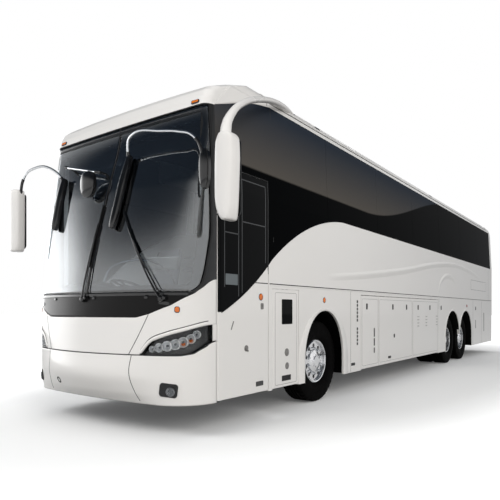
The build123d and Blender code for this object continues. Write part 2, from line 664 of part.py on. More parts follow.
with BuildPart() as cabin_floor:
    with BuildSketch(Plane.XY.offset(FLOOR_Z - FLOOR)):
        with Locations((0, (CAB_REAR_Y + TAIL_Y) / 2)):
            Rectangle(2 * FLOOR_HALF, TAIL_Y - CAB_REAR_Y)
        for y0, y1 in ((CAB_REAR_Y, SERVICE[1] + CLEAR), (BAYS[0][0] - CLEAR, BAYS[-1][1] + CLEAR)):
            with Locations((FLOOR_HALF, (y0 + y1) / 2), (-FLOOR_HALF, (y0 + y1) / 2)):
                Rectangle(2 * CLEAR, y1 - y0, mode=Mode.SUBTRACT)
    extrude(amount=FLOOR)
    with BuildSketch(Plane.XY.offset(CAB_FLOOR_Z)):
        with Locations((0, CAB_REAR_Y + PLATE / 2)):
            Rectangle(2 * (FLOOR_HALF - CLEAR), PLATE)
    extrude(amount=FLOOR_Z - CAB_FLOOR_Z)
cabin_floor.part.label = "cabin_floor"
export_step(cabin_floor.part, "parts/cabin_floor.step")

# Entrance steps: inner edge, outer edge, height
STEP_IN_X = 250
TREAD = 300
RISER = 20
STEPS = [(FLOOR_HALF - TREAD, FLOOR_HALF, 420), (FLOOR_HALF - 2 * TREAD, FLOOR_HALF - TREAD, 600),
         (STEP_IN_X, FLOOR_HALF - 2 * TREAD, 780)]
PIVOT_FOOT = (160, 30, 5)

with BuildPart() as cab_floor:
    with BuildSketch(Plane.XY.offset(CAB_FLOOR_Z - FLOOR)):
        with Locations((0, (FRONT_Y + CAB_REAR_Y) / 2)):
            Rectangle(2 * FLOOR_HALF, CAB_REAR_Y - FRONT_Y)
        with Locations(((STEP_IN_X + HALF) / 2, (NOSE_Y + DOOR_REAR_Y) / 2)):
            Rectangle(HALF - STEP_IN_X, DOOR_REAR_Y - NOSE_Y, mode=Mode.SUBTRACT)
    extrude(amount=FLOOR)
    for x0, x1, z in STEPS:
        with BuildSketch(Plane.XY.offset(z - FLOOR)):
            with Locations(((x0 + x1) / 2, (NOSE_Y + DOOR_REAR_Y) / 2)):
                Rectangle(x1 - x0, DOOR_REAR_Y - NOSE_Y)
        extrude(amount=FLOOR)
        with BuildSketch(Plane.XY.offset(z - FLOOR)):
            with Locations((x0 - RISER / 2, (NOSE_Y + DOOR_REAR_Y) / 2)):
                Rectangle(RISER, DOOR_REAR_Y - NOSE_Y)
        extrude(amount=FLOOR + 170)
    add(FITTED, mode=Mode.INTERSECT)
    with BuildSketch(Plane.XY.offset(SKIRT_Z)):
        with Locations((HINGE_X - 60, ENTRANCE_AXIS_Y)):
            Rectangle(PIVOT_FOOT[0], PIVOT_FOOT[1])
    extrude(amount=PIVOT_FOOT[2])
    with BuildSketch(Plane.XY.offset(SKIRT_Z)):
        with Locations((HINGE_X, ENTRANCE_AXIS_Y)):
            Circle(PIN_R)
    extrude(amount=DOOR_SILL_Z - SKIRT_Z + PIN_LENGTH)
    with BuildSketch(Plane.XY.offset(SKIRT_Z)):
        with Locations((HINGE_X - 125, ENTRANCE_AXIS_Y)):
            Rectangle(PIVOT_FOOT[1], PIVOT_FOOT[1])
    extrude(amount=STEPS[0][2] - FLOOR - SKIRT_Z)
cab_floor.part.label = "cab_floor"
export_step(cab_floor.part, "parts/cab_floor.step")

with BuildPart() as bay_floor:
    with BuildSketch(Plane.XY.offset(BAY_FLOOR_Z - BAY_FLOOR)):
        with Locations((0, (BAY_FRONT_Y + BAY_REAR_Y) / 2)):
            Rectangle(2 * FLOOR_HALF - 2 * CLEAR, BAY_REAR_Y - BAY_FRONT_Y)
    extrude(amount=BAY_FLOOR)
bay_floor.part.label = "bay_floor"
export_step(bay_floor.part, "parts/bay_floor.step")

with BuildPart() as underframe:
    for y0, y1 in ((DOOR_REAR_Y + 60, BAY_FRONT_Y), (BAY_REAR_Y, TAIL_Y)):
        with BuildSketch(Plane.XY.offset(RAIL_LOW_Z)):
            with Locations((RAIL_X, (y0 + y1) / 2), (-RAIL_X, (y0 + y1) / 2)):
                Rectangle(RAIL_W, y1 - y0)
        extrude(amount=RAIL_HIGH_Z - RAIL_LOW_Z)
    for y0, y1 in ((BAY_FRONT_Y - PLATE, BAY_FRONT_Y), (BAY_REAR_Y, BAY_REAR_Y + PLATE)):
        with BuildSketch(Plane.XY.offset(BAY_FLOOR_Z - BAY_FLOOR)):
            with Locations((0, (y0 + y1) / 2)):
                Rectangle(2 * FLOOR_HALF, y1 - y0)
        extrude(amount=FLOOR_Z - FLOOR - BAY_FLOOR_Z + BAY_FLOOR)
underframe.part.label = "underframe"
export_step(underframe.part, "parts/underframe.step")

ENGINE_BASE_Z = 600
ENGINE_SIZE = (2 * RAIL_X - RAIL_W, 1400, 750)

with BuildPart() as engine:
    with BuildSketch(Plane.XY.offset(ENGINE_BASE_Z)):
        with Locations((0, REAR_Y - 350 - ENGINE_SIZE[1] / 2)):
            Rectangle(ENGINE_SIZE[0], ENGINE_SIZE[1])
    extrude(amount=ENGINE_SIZE[2])
engine.part.label = "engine"
export_step(engine.part, "parts/engine.step")

# Seats, racks and the driver's place. Seat side: distance behind the seat's front edge, height over its floor
SEAT_SIDE = [(150, 0), (400, 0), (400, 350), (480, 350), (650, 1110), (560, 1130), (420, 480),
             (0, 460), (0, 370), (150, 350)]
SEAT_PITCH = 810
SEAT_W = 960
SEAT_WALL_GAP = 20
SEAT_FIRST_Y = CAB_REAR_Y + 650
SEAT_LAST_Y = TAIL_Y - 300
SEAT_ROWS = int((SEAT_LAST_Y - SEAT_FIRST_Y) / SEAT_PITCH)

with BuildPart() as seats:
    for side in (1, -1):
        with BuildSketch(Plane.YZ.offset(side * (FLOOR_HALF - SEAT_WALL_GAP))):
            for row in range(SEAT_ROWS):
                front = SEAT_FIRST_Y + row * SEAT_PITCH
                with BuildLine():
                    Polyline(*[(front + y, FLOOR_Z + z) for y, z in SEAT_SIDE], close=True)
                make_face()
        extrude(amount=-side * SEAT_W)
seats.part.label = "seats"
export_step(seats.part, "parts/seats.step")

# Section of a parcel rack: distance from the middle, drop below the top of the side glass
RACK_SECTION = [(760, 280), (780, 330), (HALF, 380), (HALF, 60), (1090, 70), (760, 190)]
RACK_FRONT_Y = CAB_REAR_Y + 150

with BuildPart() as parcel_racks:
    with BuildSketch(Plane.XZ.offset(-RACK_FRONT_Y)):
        add(front_panel([(x, GLASS_TOP_Z - drop) for x, drop in RACK_SECTION]))
    extrude(amount=RACK_FRONT_Y - SEAT_LAST_Y)
    add(INNER, mode=Mode.INTERSECT)
parcel_racks.part.label = "parcel_racks"
export_step(parcel_racks.part, "parts/parcel_racks.step")

# Dashboard and the driver's binnacle: distance behind the nose's straight sides, height over the cab floor
DRIVER_X = -640
DASH_SIDE = [(-450, 0), (-450, 380), (-210, 450), (-30, 410), (-30, 0)]
BINNACLE_SIDE = [(-30, 0), (-30, 410), (210, 350), (250, 230), (130, 0)]
BINNACLE_END_X = 150

with BuildPart() as dashboard:
    for end, outline in ((HALF, DASH_SIDE), (BINNACLE_END_X, BINNACLE_SIDE)):
        with BuildSketch(Plane.YZ.offset(-HALF)):
            with BuildLine():
                Polyline(*[(NOSE_Y + y, CAB_FLOOR_Z + z) for y, z in outline], close=True)
            make_face()
        extrude(amount=HALF + end)
    add(FITTED, mode=Mode.INTERSECT)
dashboard.part.label = "dashboard"
export_step(dashboard.part, "parts/dashboard.step")

# Steering wheel on its leaning column
COLUMN = Plane((DRIVER_X, NOSE_Y + 330, CAB_FLOOR_Z), z_dir=(0, 0.342, 0.94))
COLUMN_R = 35
COLUMN_LENGTH = 600
WHEEL_RIM_R = 225
WHEEL_RIM = 34
HORN_R = 70

with BuildPart() as steering_wheel:
    with Locations(COLUMN.location):
        Cylinder(COLUMN_R, COLUMN_LENGTH, align=(Align.CENTER, Align.CENTER, Align.MIN))
    split(bisect_by=Plane.XY.offset(CAB_FLOOR_Z), keep=Keep.TOP)
    with BuildSketch(COLUMN.offset(COLUMN_LENGTH - WHEEL_RIM / 2)):
        RegularPolygon(WHEEL_RIM_R + WHEEL_RIM / 2, TYRE_SIDES)
        RegularPolygon(WHEEL_RIM_R - WHEEL_RIM / 2, TYRE_SIDES, mode=Mode.SUBTRACT)
        Rectangle(2 * WHEEL_RIM_R, WHEEL_RIM)
        RegularPolygon(HORN_R, TYRE_SIDES)
    extrude(amount=WHEEL_RIM)
steering_wheel.part.label = "steering_wheel"
export_step(steering_wheel.part, "parts/steering_wheel.step")

with BuildPart() as driver_seat:
    with BuildSketch(Plane.YZ.offset(DRIVER_X - 250)):
        with BuildLine():
            Polyline(*[(NOSE_Y + 670 + y, CAB_FLOOR_Z + z) for y, z in SEAT_SIDE], close=True)
        make_face()
    extrude(amount=500)
driver_seat.part.label = "driver_seat"
export_step(driver_seat.part, "parts/driver_seat.step")

# Mirror shells in front view: half widths at the top and bottom, corner radii; all as the left one
SHELL_DEPTH = 150
SHELL_HALF = 385
SHELL_ROUND = 28
LEFT_SHELL = [(-95, SHELL_HALF, 40), (-108, -200, 150), (-55, -SHELL_HALF, 50), (95, -SHELL_HALF, 40),
              (112, SHELL_HALF - 15, 100)]
RIGHT_SHELL = [(-105, SHELL_HALF, 40), (-75, -SHELL_HALF, 40), (105, -SHELL_HALF, 40), (105, SHELL_HALF, 40)]
LEFT_MIDDLE = (HALF + 380, NOSE_Y - 310, BELT_Z - 63)
RIGHT_MIDDLE = (-HALF - 385, NOSE_Y - 376, BELT_Z - 120)


def mirror_shell(middle, side, outline):
    """Housing of a side mirror, drawn in front view and rounded on the face that meets the wind."""
    x, y, z = middle
    with BuildPart() as shell:
        with BuildSketch(Plane.XZ.offset(-y - SHELL_DEPTH / 2)):
            with BuildLine():
                FilletPolyline(*[(x + side * across, z + up) for across, up, _ in outline],
                               radius=[radius for _, _, radius in outline], close=True)
            make_face()
        extrude(amount=SHELL_DEPTH)
        fillet(shell.faces().sort_by(Axis.Y)[0].edges(), radius=SHELL_ROUND)
    return shell.part


def tube(route, radii, radius):
    """Round bar along straight runs and tangent arcs."""
    with BuildPart() as bar:
        with BuildLine() as line:
            FilletPolyline(*route, radius=radii)
        with BuildSketch(Plane(line.line @ 0, z_dir=line.line % 0)):
            Circle(radius)
        sweep()
    return bar.part


LEFT_ARM_R = 36
LEFT_ARM = [(HALF - 175, NOSE_Y + 1550, ROOF_Z - 150), (HALF - 5, NOSE_Y + 940, ROOF_Z - 230),
            (HALF + 205, NOSE_Y + 180, ROOF_Z - 540), (HALF + 325, NOSE_Y - 250, ROOF_Z - 910),
            (HALF + 330, NOSE_Y - 310, ROOF_Z - 1190)]

with BuildPart() as mirror_left:
    add(mirror_shell(LEFT_MIDDLE, 1, LEFT_SHELL))
    add(tube(LEFT_ARM, [2500, 1500, 400], LEFT_ARM_R))
    add(OUTER, mode=Mode.SUBTRACT)
mirror_left.part.label = "mirror_left"
export_step(mirror_left.part, "parts/mirror_left.step")

with BuildPart() as mirror_right:
    add(mirror_shell(RIGHT_MIDDLE, -1, RIGHT_SHELL))
mirror_right.part.label = "mirror_right"
export_step(mirror_right.part, "parts/mirror_right.step")

# Black mirrors over the windscreen: middle, half width, half depth, half height
SCREEN_MIRRORS = [((1345, NOSE_Y - 270, 2530), 62, 40, 190), ((-240, NOSE_Y - 380, 2590), 120, 50, 150)]

with BuildPart() as mirror_centre:
    for (x, y, z), wide, deep, tall in SCREEN_MIRRORS:
        with BuildSketch(Plane.XZ.offset(-y - deep)):
            with Locations((x, z)):
                RectangleRounded(2 * wide, 2 * tall, 0.95 * wide)
        extrude(amount=2 * deep)
mirror_centre.part.label = "mirror_centre"
export_step(mirror_centre.part, "parts/mirror_centre.step")

# Black brackets on the windscreen's edge and by its seam: x, upper end, lower end, half width, reach
BRACKETS = [(-860, 2760, 2140, 45, 95), (270, 2830, 2040, 45, 95)]

with BuildPart() as mirror_brackets:
    for x, high, low, wide, reach in BRACKETS:
        with BuildSketch(Plane.YZ.offset(x - wide)):
            with BuildLine():
                Polyline((nose_y(x, low), low), (nose_y(x, low) - reach / 2, low),
                         (nose_y(x, low) - reach, low + reach), (nose_y(x, high) - reach, high),
                         (nose_y(x, high), high), close=True)
            make_face()
        extrude(amount=2 * wide)
    add(OUTER, mode=Mode.SUBTRACT)
mirror_brackets.part.label = "mirror_brackets"
export_step(mirror_brackets.part, "parts/mirror_brackets.step")

# Bright tubes that carry the mirrors: radius, points, bend radii
RIGHT_BRACKET_Y = nose_y(BRACKETS[0][0], BRACKETS[0][1]) - 50
CENTRE_BRACKET_Y = nose_y(BRACKETS[1][0], BRACKETS[1][1]) - 50
ARMS = [
    (16, [(-860, RIGHT_BRACKET_Y, 2720), (-1180, NOSE_Y - 350, 2950), (-1490, NOSE_Y - 370, 2900),
          (-1585, NOSE_Y - 376, 2640)], [220, 130]),
    (14, [(270, CENTRE_BRACKET_Y, 2780), (450, NOSE_Y - 360, 3010), (1210, NOSE_Y - 330, 2870),
          (1345, NOSE_Y - 270, 2600)], [150, 150]),
]
BAR_R = 16
BAR = [(-830, 2880), (-120, 2690)]

with BuildPart() as mirror_arms:
    for radius, route, bends in ARMS:
        add(tube(route, bends, radius))
    ends = [Vector(x, nose_y(x, z) - 80, z) for x, z in BAR]
    with Locations(Plane(ends[0], z_dir=ends[1] - ends[0]).location):
        Cylinder(BAR_R, (ends[1] - ends[0]).length, align=(Align.CENTER, Align.CENTER, Align.MIN))
    for foot in ends:
        with Locations(Plane(foot, z_dir=(0, 1, 0)).location):
            Cylinder(BAR_R, 200, align=(Align.CENTER, Align.CENTER, Align.MIN))
    for piece in (OUTER, mirror_right.part, mirror_centre.part, mirror_brackets.part):
        add(piece, mode=Mode.SUBTRACT)
mirror_arms.part.label = "mirror_arms"
export_step(mirror_arms.part, "parts/mirror_arms.step")

# Wiper arms: pivot x, pivot z, tip x, tip z
WIPERS = [(964, 1320, 340, 2230), (-40, 1330, 0, 2330)]
WIPER_R = 9
WIPER_OFF = 35

with BuildPart() as wipers:
    for pivot_x, pivot_z, tip_x, tip_z in WIPERS:
        pivot = Vector(pivot_x, nose_y(pivot_x, pivot_z) - WIPER_OFF, pivot_z)
        tip = Vector(tip_x, nose_y(tip_x, tip_z) - WIPER_OFF, tip_z)
        arm = tip - pivot
        with Locations(Plane(pivot, z_dir=arm).location):
            Cylinder(WIPER_R, arm.length, align=(Align.CENTER, Align.CENTER, Align.MIN))
        with Locations(Plane(pivot, z_dir=(0, 1, 0)).location):
            Cylinder(2 * WIPER_R, 4 * WIPER_OFF, align=(Align.CENTER, Align.CENTER, Align.MIN))
    add(OUTER, mode=Mode.SUBTRACT)
wipers.part.label = "wipers"
export_step(wipers.part, "parts/wipers.step")

# Amber lamps on the roof cap, x and z, and on the flanks, y and z
ROOF_LAMPS = [(-1080, SCREEN_TOP_Z + 34), (1080, SCREEN_TOP_Z + 34)]
SIDE_LAMPS = [(FRONT_AXLE_Y - 20, 1353), (TAG_AXLE_Y + 117, 1336)]
LAMP_R = 24
LAMP_OUT = 11

with BuildPart() as marker_lamps:
    for x, z in ROOF_LAMPS:
        with Locations(Plane((x, nose_y(x, z) - LAMP_OUT, z), z_dir=(0, 1, 0)).location):
            Cylinder(LAMP_R, 80, align=(Align.CENTER, Align.CENTER, Align.MIN))
    for side in (1, -1):
        for y, z in SIDE_LAMPS:
            with Locations(Plane((side * (HALF + LAMP_OUT), y, z), z_dir=(-side, 0, 0)).location):
                Cylinder(LAMP_R, 30, align=(Align.CENTER, Align.CENTER, Align.MIN))
    add(OUTER, mode=Mode.SUBTRACT)
marker_lamps.part.label = "marker_lamps"
export_step(marker_lamps.part, "parts/marker_lamps.step")


# Axles, steering knuckles and wheels
EYE_R = 45
EYE_HALF = 60
LUG_HALF = 125
PIN_GAP = 3
BELLOWS_R = 110
RIM_INNER_R = RIM_R - 18
DISC = 26
HAND_HOLES = 10
HAND_HOLE_R = 27
HAND_HOLES_AT = 208
BELLOWS_BASE_Z = 470


def wheel_plane(side, y):
    """Section plane of a wheel: first axis outwards from the middle, second up from its centre."""
    return Plane((0, y, TYRE_R), x_dir=(side, 0, 0), z_dir=(0, -side, 0))


def wheel_axis(y):
    """Axis of a pair of wheels."""
    return Axis((0, y, TYRE_R), (1, 0, 0))


with BuildPart() as front_axle:
    with BuildSketch(Plane.XZ.offset(-FRONT_AXLE_Y)):
        add(front_view([(560, 400), (KINGPIN_X, TYRE_R - 50), (KINGPIN_X, TYRE_R + 50), (540, 490)]))
    extrude(amount=45, both=True)
    for side in (1, -1):
        with BuildSketch(Plane.XY.offset(TYRE_R - EYE_HALF)):
            with Locations((side * KINGPIN_X, FRONT_AXLE_Y)):
                Circle(EYE_R)
        extrude(amount=2 * EYE_HALF)
        with BuildSketch(Plane.XY.offset(TYRE_R - LUG_HALF)):
            with Locations((side * KINGPIN_X, FRONT_AXLE_Y)):
                Circle(KINGPIN_R)
        extrude(amount=2 * LUG_HALF)
        with BuildSketch(Plane.XY.offset(BELLOWS_BASE_Z)):
            with Locations((side * RAIL_X, FRONT_AXLE_Y)):
                Circle(BELLOWS_R)
        extrude(amount=RAIL_LOW_Z - BELLOWS_BASE_Z)
front_axle.part.label = "front_axle"
export_step(front_axle.part, "parts/front_axle.step")

# Beam axles: name, y, end of the tube, radius of the differential
for name, y, tube_end, bulge in (("drive", DRIVE_AXLE_Y, 590, 220), ("tag", TAG_AXLE_Y, 930, 80)):
    with BuildPart() as axle:
        with BuildSketch(wheel_plane(1, y)):
            with BuildLine():
                Polyline((-WHEEL_X - 50, 0), (-WHEEL_X - 50, SPINDLE_R), (-tube_end, SPINDLE_R),
                         (-tube_end, 80), (-bulge - 100, 80), (-bulge * 0.5, bulge), (bulge * 0.5, bulge),
                         (bulge + 100, 80), (tube_end, 80), (tube_end, SPINDLE_R),
                         (WHEEL_X + 50, SPINDLE_R), (WHEEL_X + 50, 0), close=True)
            make_face()
        revolve(axis=wheel_axis(y))
        for side in (1, -1):
            with BuildSketch(Plane.XY.offset(TYRE_R)):
                with Locations((side * RAIL_X, y)):
                    Circle(BELLOWS_R)
            extrude(amount=RAIL_LOW_Z - TYRE_R)
    axle.part.label = f"{name}_axle"
    export_step(axle.part, f"parts/{name}_axle.step")


def tyre(side, y, middle, full):
    """One tyre as rings of many short flats, with rounded shoulders where it shows."""
    half = TYRE_W / 2
    bead = RIM_W / 2
    if full:
        rings = [(bead, RIM_R + BEAD), (half, RIM_R + 130), (half - 25, TYRE_R)]
    else:
        rings = [(bead, RIM_R + BEAD), (half - 12, TYRE_R)]
    with BuildPart() as ring:
        for x, radius in [(-x, r) for x, r in rings] + rings[::-1]:
            with BuildSketch(Plane((side * (middle + x), y, TYRE_R), z_dir=(1, 0, 0))):
                RegularPolygon(radius, TYRE_SIDES)
        loft(ruled=True)
        with BuildSketch(Plane((side * middle, y, TYRE_R), z_dir=(1, 0, 0))):
            RegularPolygon(RIM_R + SEAT_FIT, TYRE_SIDES, major_radius=False)
        extrude(amount=TYRE_W, both=True, mode=Mode.SUBTRACT)
    return ring.part


def hub_section(start, end):
    """Section of a hub bored for its spindle and closed at its outer end."""
    bore = SPINDLE_R + PIN_FIT
    with BuildSketch() as outline:
        with BuildLine():
            Polyline((start, bore), (start, HUB_R), (end - 20, HUB_R), (end, HUB_R - 50), (end, 0),
                     (end - 25, 0), (end - 25, bore), close=True)
        make_face()
    return outline.sketch


for side, name in ((1, "left"), (-1, "right")):
    with BuildPart() as knuckle:
        with BuildSketch(Plane.XY.offset(TYRE_R - LUG_HALF)):
            with Locations((side * KINGPIN_X, FRONT_AXLE_Y)):
                Circle(EYE_R)
            with Locations((side * (KINGPIN_X + 40), FRONT_AXLE_Y)):
                Rectangle(80, 2 * EYE_R)
        extrude(amount=2 * LUG_HALF)
        with BuildSketch(Plane.XY.offset(TYRE_R - EYE_HALF - PIN_GAP)):
            with Locations((side * KINGPIN_X, FRONT_AXLE_Y)):
                Circle(EYE_R + PIN_GAP + 4)
            with Locations((side * (KINGPIN_X - 50), FRONT_AXLE_Y)):
                Rectangle(100, 2 * EYE_R + 20)
        extrude(amount=2 * (EYE_HALF + PIN_GAP), mode=Mode.SUBTRACT)
        with BuildSketch(Plane.XY.offset(TYRE_R - LUG_HALF)):
            with Locations((side * KINGPIN_X, FRONT_AXLE_Y)):
                Circle(KINGPIN_R + PIN_FIT)
        extrude(amount=2 * LUG_HALF, mode=Mode.SUBTRACT)
        with BuildSketch(wheel_plane(side, FRONT_AXLE_Y)):
            with Locations(((KINGPIN_X + 60 + WHEEL_X + 60) / 2, SPINDLE_R / 2)):
                Rectangle(WHEEL_X - KINGPIN_X, SPINDLE_R)
        revolve(axis=wheel_axis(FRONT_AXLE_Y))
    knuckle.part.label = f"front_knuckle_{name}"
    export_step(knuckle.part, f"parts/front_knuckle_{name}.step")

    for place, y in (("front", FRONT_AXLE_Y), ("tag", TAG_AXLE_Y)):
        with BuildPart() as single_tyre:
            add(tyre(side, y, WHEEL_X, True))
        single_tyre.part.label = f"{place}_tyre_{name}"
        export_step(single_tyre.part, f"parts/{place}_tyre_{name}.step")
        with BuildPart() as rim:
            with BuildSketch(wheel_plane(side, y)):
                with Locations((WHEEL_X, (RIM_R + RIM_INNER_R) / 2)):
                    Rectangle(RIM_W, RIM_R - RIM_INNER_R)
                with Locations((WHEEL_X + 70, (RIM_INNER_R + HUB_R) / 2)):
                    Rectangle(DISC, RIM_INNER_R - HUB_R + 20)
                add(hub_section(WHEEL_X - 30, WHEEL_X + 120))
            revolve(axis=wheel_axis(y))
            with BuildSketch(Plane((side * WHEEL_X, y, TYRE_R), z_dir=(side, 0, 0))):
                with PolarLocations(HAND_HOLES_AT, HAND_HOLES):
                    Circle(HAND_HOLE_R)
            extrude(amount=RIM_W / 2, mode=Mode.SUBTRACT)
        rim.part.label = f"{place}_rim_{name}"
        export_step(rim.part, f"parts/{place}_rim_{name}.step")

    inner_x = WHEEL_X - TWIN_PITCH
    with BuildPart() as twin_tyres:
        add(tyre(side, DRIVE_AXLE_Y, WHEEL_X, True))
        add(tyre(side, DRIVE_AXLE_Y, inner_x, False))
    twin_tyres.part.label = f"drive_tyres_{name}"
    export_step(twin_tyres.part, f"parts/drive_tyres_{name}.step")
    with BuildPart() as twin_rims:
        with BuildSketch(wheel_plane(side, DRIVE_AXLE_Y)):
            with Locations(((WHEEL_X + inner_x) / 2, (RIM_R + RIM_INNER_R) / 2)):
                Rectangle(RIM_W + TWIN_PITCH, RIM_R - RIM_INNER_R)
            with Locations(((WHEEL_X + inner_x) / 2, (RIM_INNER_R + HUB_R) / 2)):
                Rectangle(DISC, RIM_INNER_R - HUB_R + 20)
            add(hub_section(600, WHEEL_X + 90))
        revolve(axis=wheel_axis(DRIVE_AXLE_Y))
        with BuildSketch(Plane((side * (inner_x + WHEEL_X) / 2, DRIVE_AXLE_Y, TYRE_R), z_dir=(side, 0, 0))):
            with PolarLocations(HAND_HOLES_AT, HAND_HOLES):
                Circle(HAND_HOLE_R)
        extrude(amount=RIM_W, both=True, mode=Mode.SUBTRACT)
    twin_rims.part.label = f"drive_rims_{name}"
    export_step(twin_rims.part, f"parts/drive_rims_{name}.step")
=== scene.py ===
"""Coach bus: finishes, trim, lamps, wheels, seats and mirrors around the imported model.

Metres. +Z is up, the front of the coach faces -Y and its left side, with the entrance door, is +X.
"""

import json
import logging
import math
from dataclasses import dataclass
from enum import Enum
from typing import Sequence

import bmesh
import bpy
import numpy as np
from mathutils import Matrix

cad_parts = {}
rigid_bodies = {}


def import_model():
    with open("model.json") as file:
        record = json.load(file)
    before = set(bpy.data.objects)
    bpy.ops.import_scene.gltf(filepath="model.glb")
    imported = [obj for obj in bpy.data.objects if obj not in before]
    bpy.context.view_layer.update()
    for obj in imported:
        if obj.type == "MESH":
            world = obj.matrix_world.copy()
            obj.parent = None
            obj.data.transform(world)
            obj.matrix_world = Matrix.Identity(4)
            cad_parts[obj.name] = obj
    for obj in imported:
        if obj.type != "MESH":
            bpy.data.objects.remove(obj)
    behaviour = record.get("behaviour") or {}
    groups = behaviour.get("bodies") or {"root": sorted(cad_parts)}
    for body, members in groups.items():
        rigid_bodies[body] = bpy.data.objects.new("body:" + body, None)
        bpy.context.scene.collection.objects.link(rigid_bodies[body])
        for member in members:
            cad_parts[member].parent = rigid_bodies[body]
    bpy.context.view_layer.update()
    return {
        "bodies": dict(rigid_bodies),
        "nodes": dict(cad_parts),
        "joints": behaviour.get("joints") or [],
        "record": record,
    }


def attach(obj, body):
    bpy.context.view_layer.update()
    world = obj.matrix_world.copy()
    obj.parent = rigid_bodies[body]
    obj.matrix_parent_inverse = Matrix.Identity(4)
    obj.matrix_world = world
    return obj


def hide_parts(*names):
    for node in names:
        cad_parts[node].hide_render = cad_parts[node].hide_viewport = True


LOG = logging.getLogger("coach")
Points = np.ndarray
RIGHTWARDS, BACKWARDS, UP = np.eye(3)
QUARTER = math.pi / 2


# ---------------------------------------------------------------- finishes

def linear(code: str) -> tuple[float, float, float, float]:
    """Linear colour, with alpha, of an sRGB value given as six hex digits."""
    values = [int(code[i:i + 2], 16) / 255 for i in (0, 2, 4)]
    return tuple(v / 12.92 if v <= 0.04045 else ((v + 0.055) / 1.055) ** 2.4 for v in values) + (1.0,)


class Graph:
    """Node tree of a material or world, with short calls for the nodes that this file uses."""
    BANDS = 3.14

    def __init__(self, owner: bpy.types.Material | bpy.types.World) -> None:
        """Empties the owner's node tree."""
        owner.use_nodes = True
        self.tree = owner.node_tree
        self.tree.nodes.clear()

    def add(self, kind: str, inputs: dict | None = None, **settings: object) -> bpy.types.Node:
        """Adds one node.

        Args:
            kind: the node's type name.
            inputs: a constant, or the output socket that feeds it, for each input.
            settings: attributes of the node.
        Returns:
            The node.
        """
        node = self.tree.nodes.new(kind)
        for name, value in settings.items():
            setattr(node, name, value)
        for name, value in (inputs or {}).items():
            if isinstance(value, bpy.types.NodeSocket):
                self.tree.links.new(value, node.inputs[name])
            else:
                node.inputs[name].default_value = value
        return node

    def math(self, operation: str, *values: bpy.types.NodeSocket | float) -> bpy.types.NodeSocket:
        """Result of a calculation with two or three values."""
        return self.add("ShaderNodeMath", dict(enumerate(values)), operation=operation).outputs[0]

    def blend(self, share: bpy.types.NodeSocket, first: object, second: object) -> bpy.types.NodeSocket:
        """Mixed colour: the first where the share is nought, the second where it is one."""
        return self.add("ShaderNodeMix", {0: share, 6: first, 7: second}, data_type="RGBA").outputs[2]

    def ramp(self, value: bpy.types.NodeSocket, start: float, stop: float, low: float = 0.0, high: float = 1.0,
             kind: str = "SMOOTHSTEP") -> bpy.types.NodeSocket:
        """Value carried from the range start to stop into the range low to high."""
        return self.add("ShaderNodeMapRange", {"Value": value, "From Min": start, "From Max": stop, "To Min": low,
                                               "To Max": high}, interpolation_type=kind).outputs["Result"]

    def noise(self, place: bpy.types.NodeSocket, scale: float, detail: float) -> bpy.types.NodeSocket:
        """Cloudy noise at a place, from nought to one."""
        return self.add("ShaderNodeTexNoise", {"Vector": place, "Scale": scale, "Detail": detail}).outputs["Fac"]

    def wave(self, place: bpy.types.NodeSocket, scale: float, axis: str) -> bpy.types.NodeSocket:
        """Even waves along an axis, from nought to one."""
        return self.add("ShaderNodeTexWave", {"Vector": place, "Scale": scale / self.BANDS},
                        bands_direction=axis).outputs["Fac"]


class Pattern(Enum):
    """What a finish shows up close."""
    SMOOTH = "smooth"
    GRAIN = "grain"
    WEAVE = "weave"
    RIBS = "ribs"
    BRUSHED = "brushed"


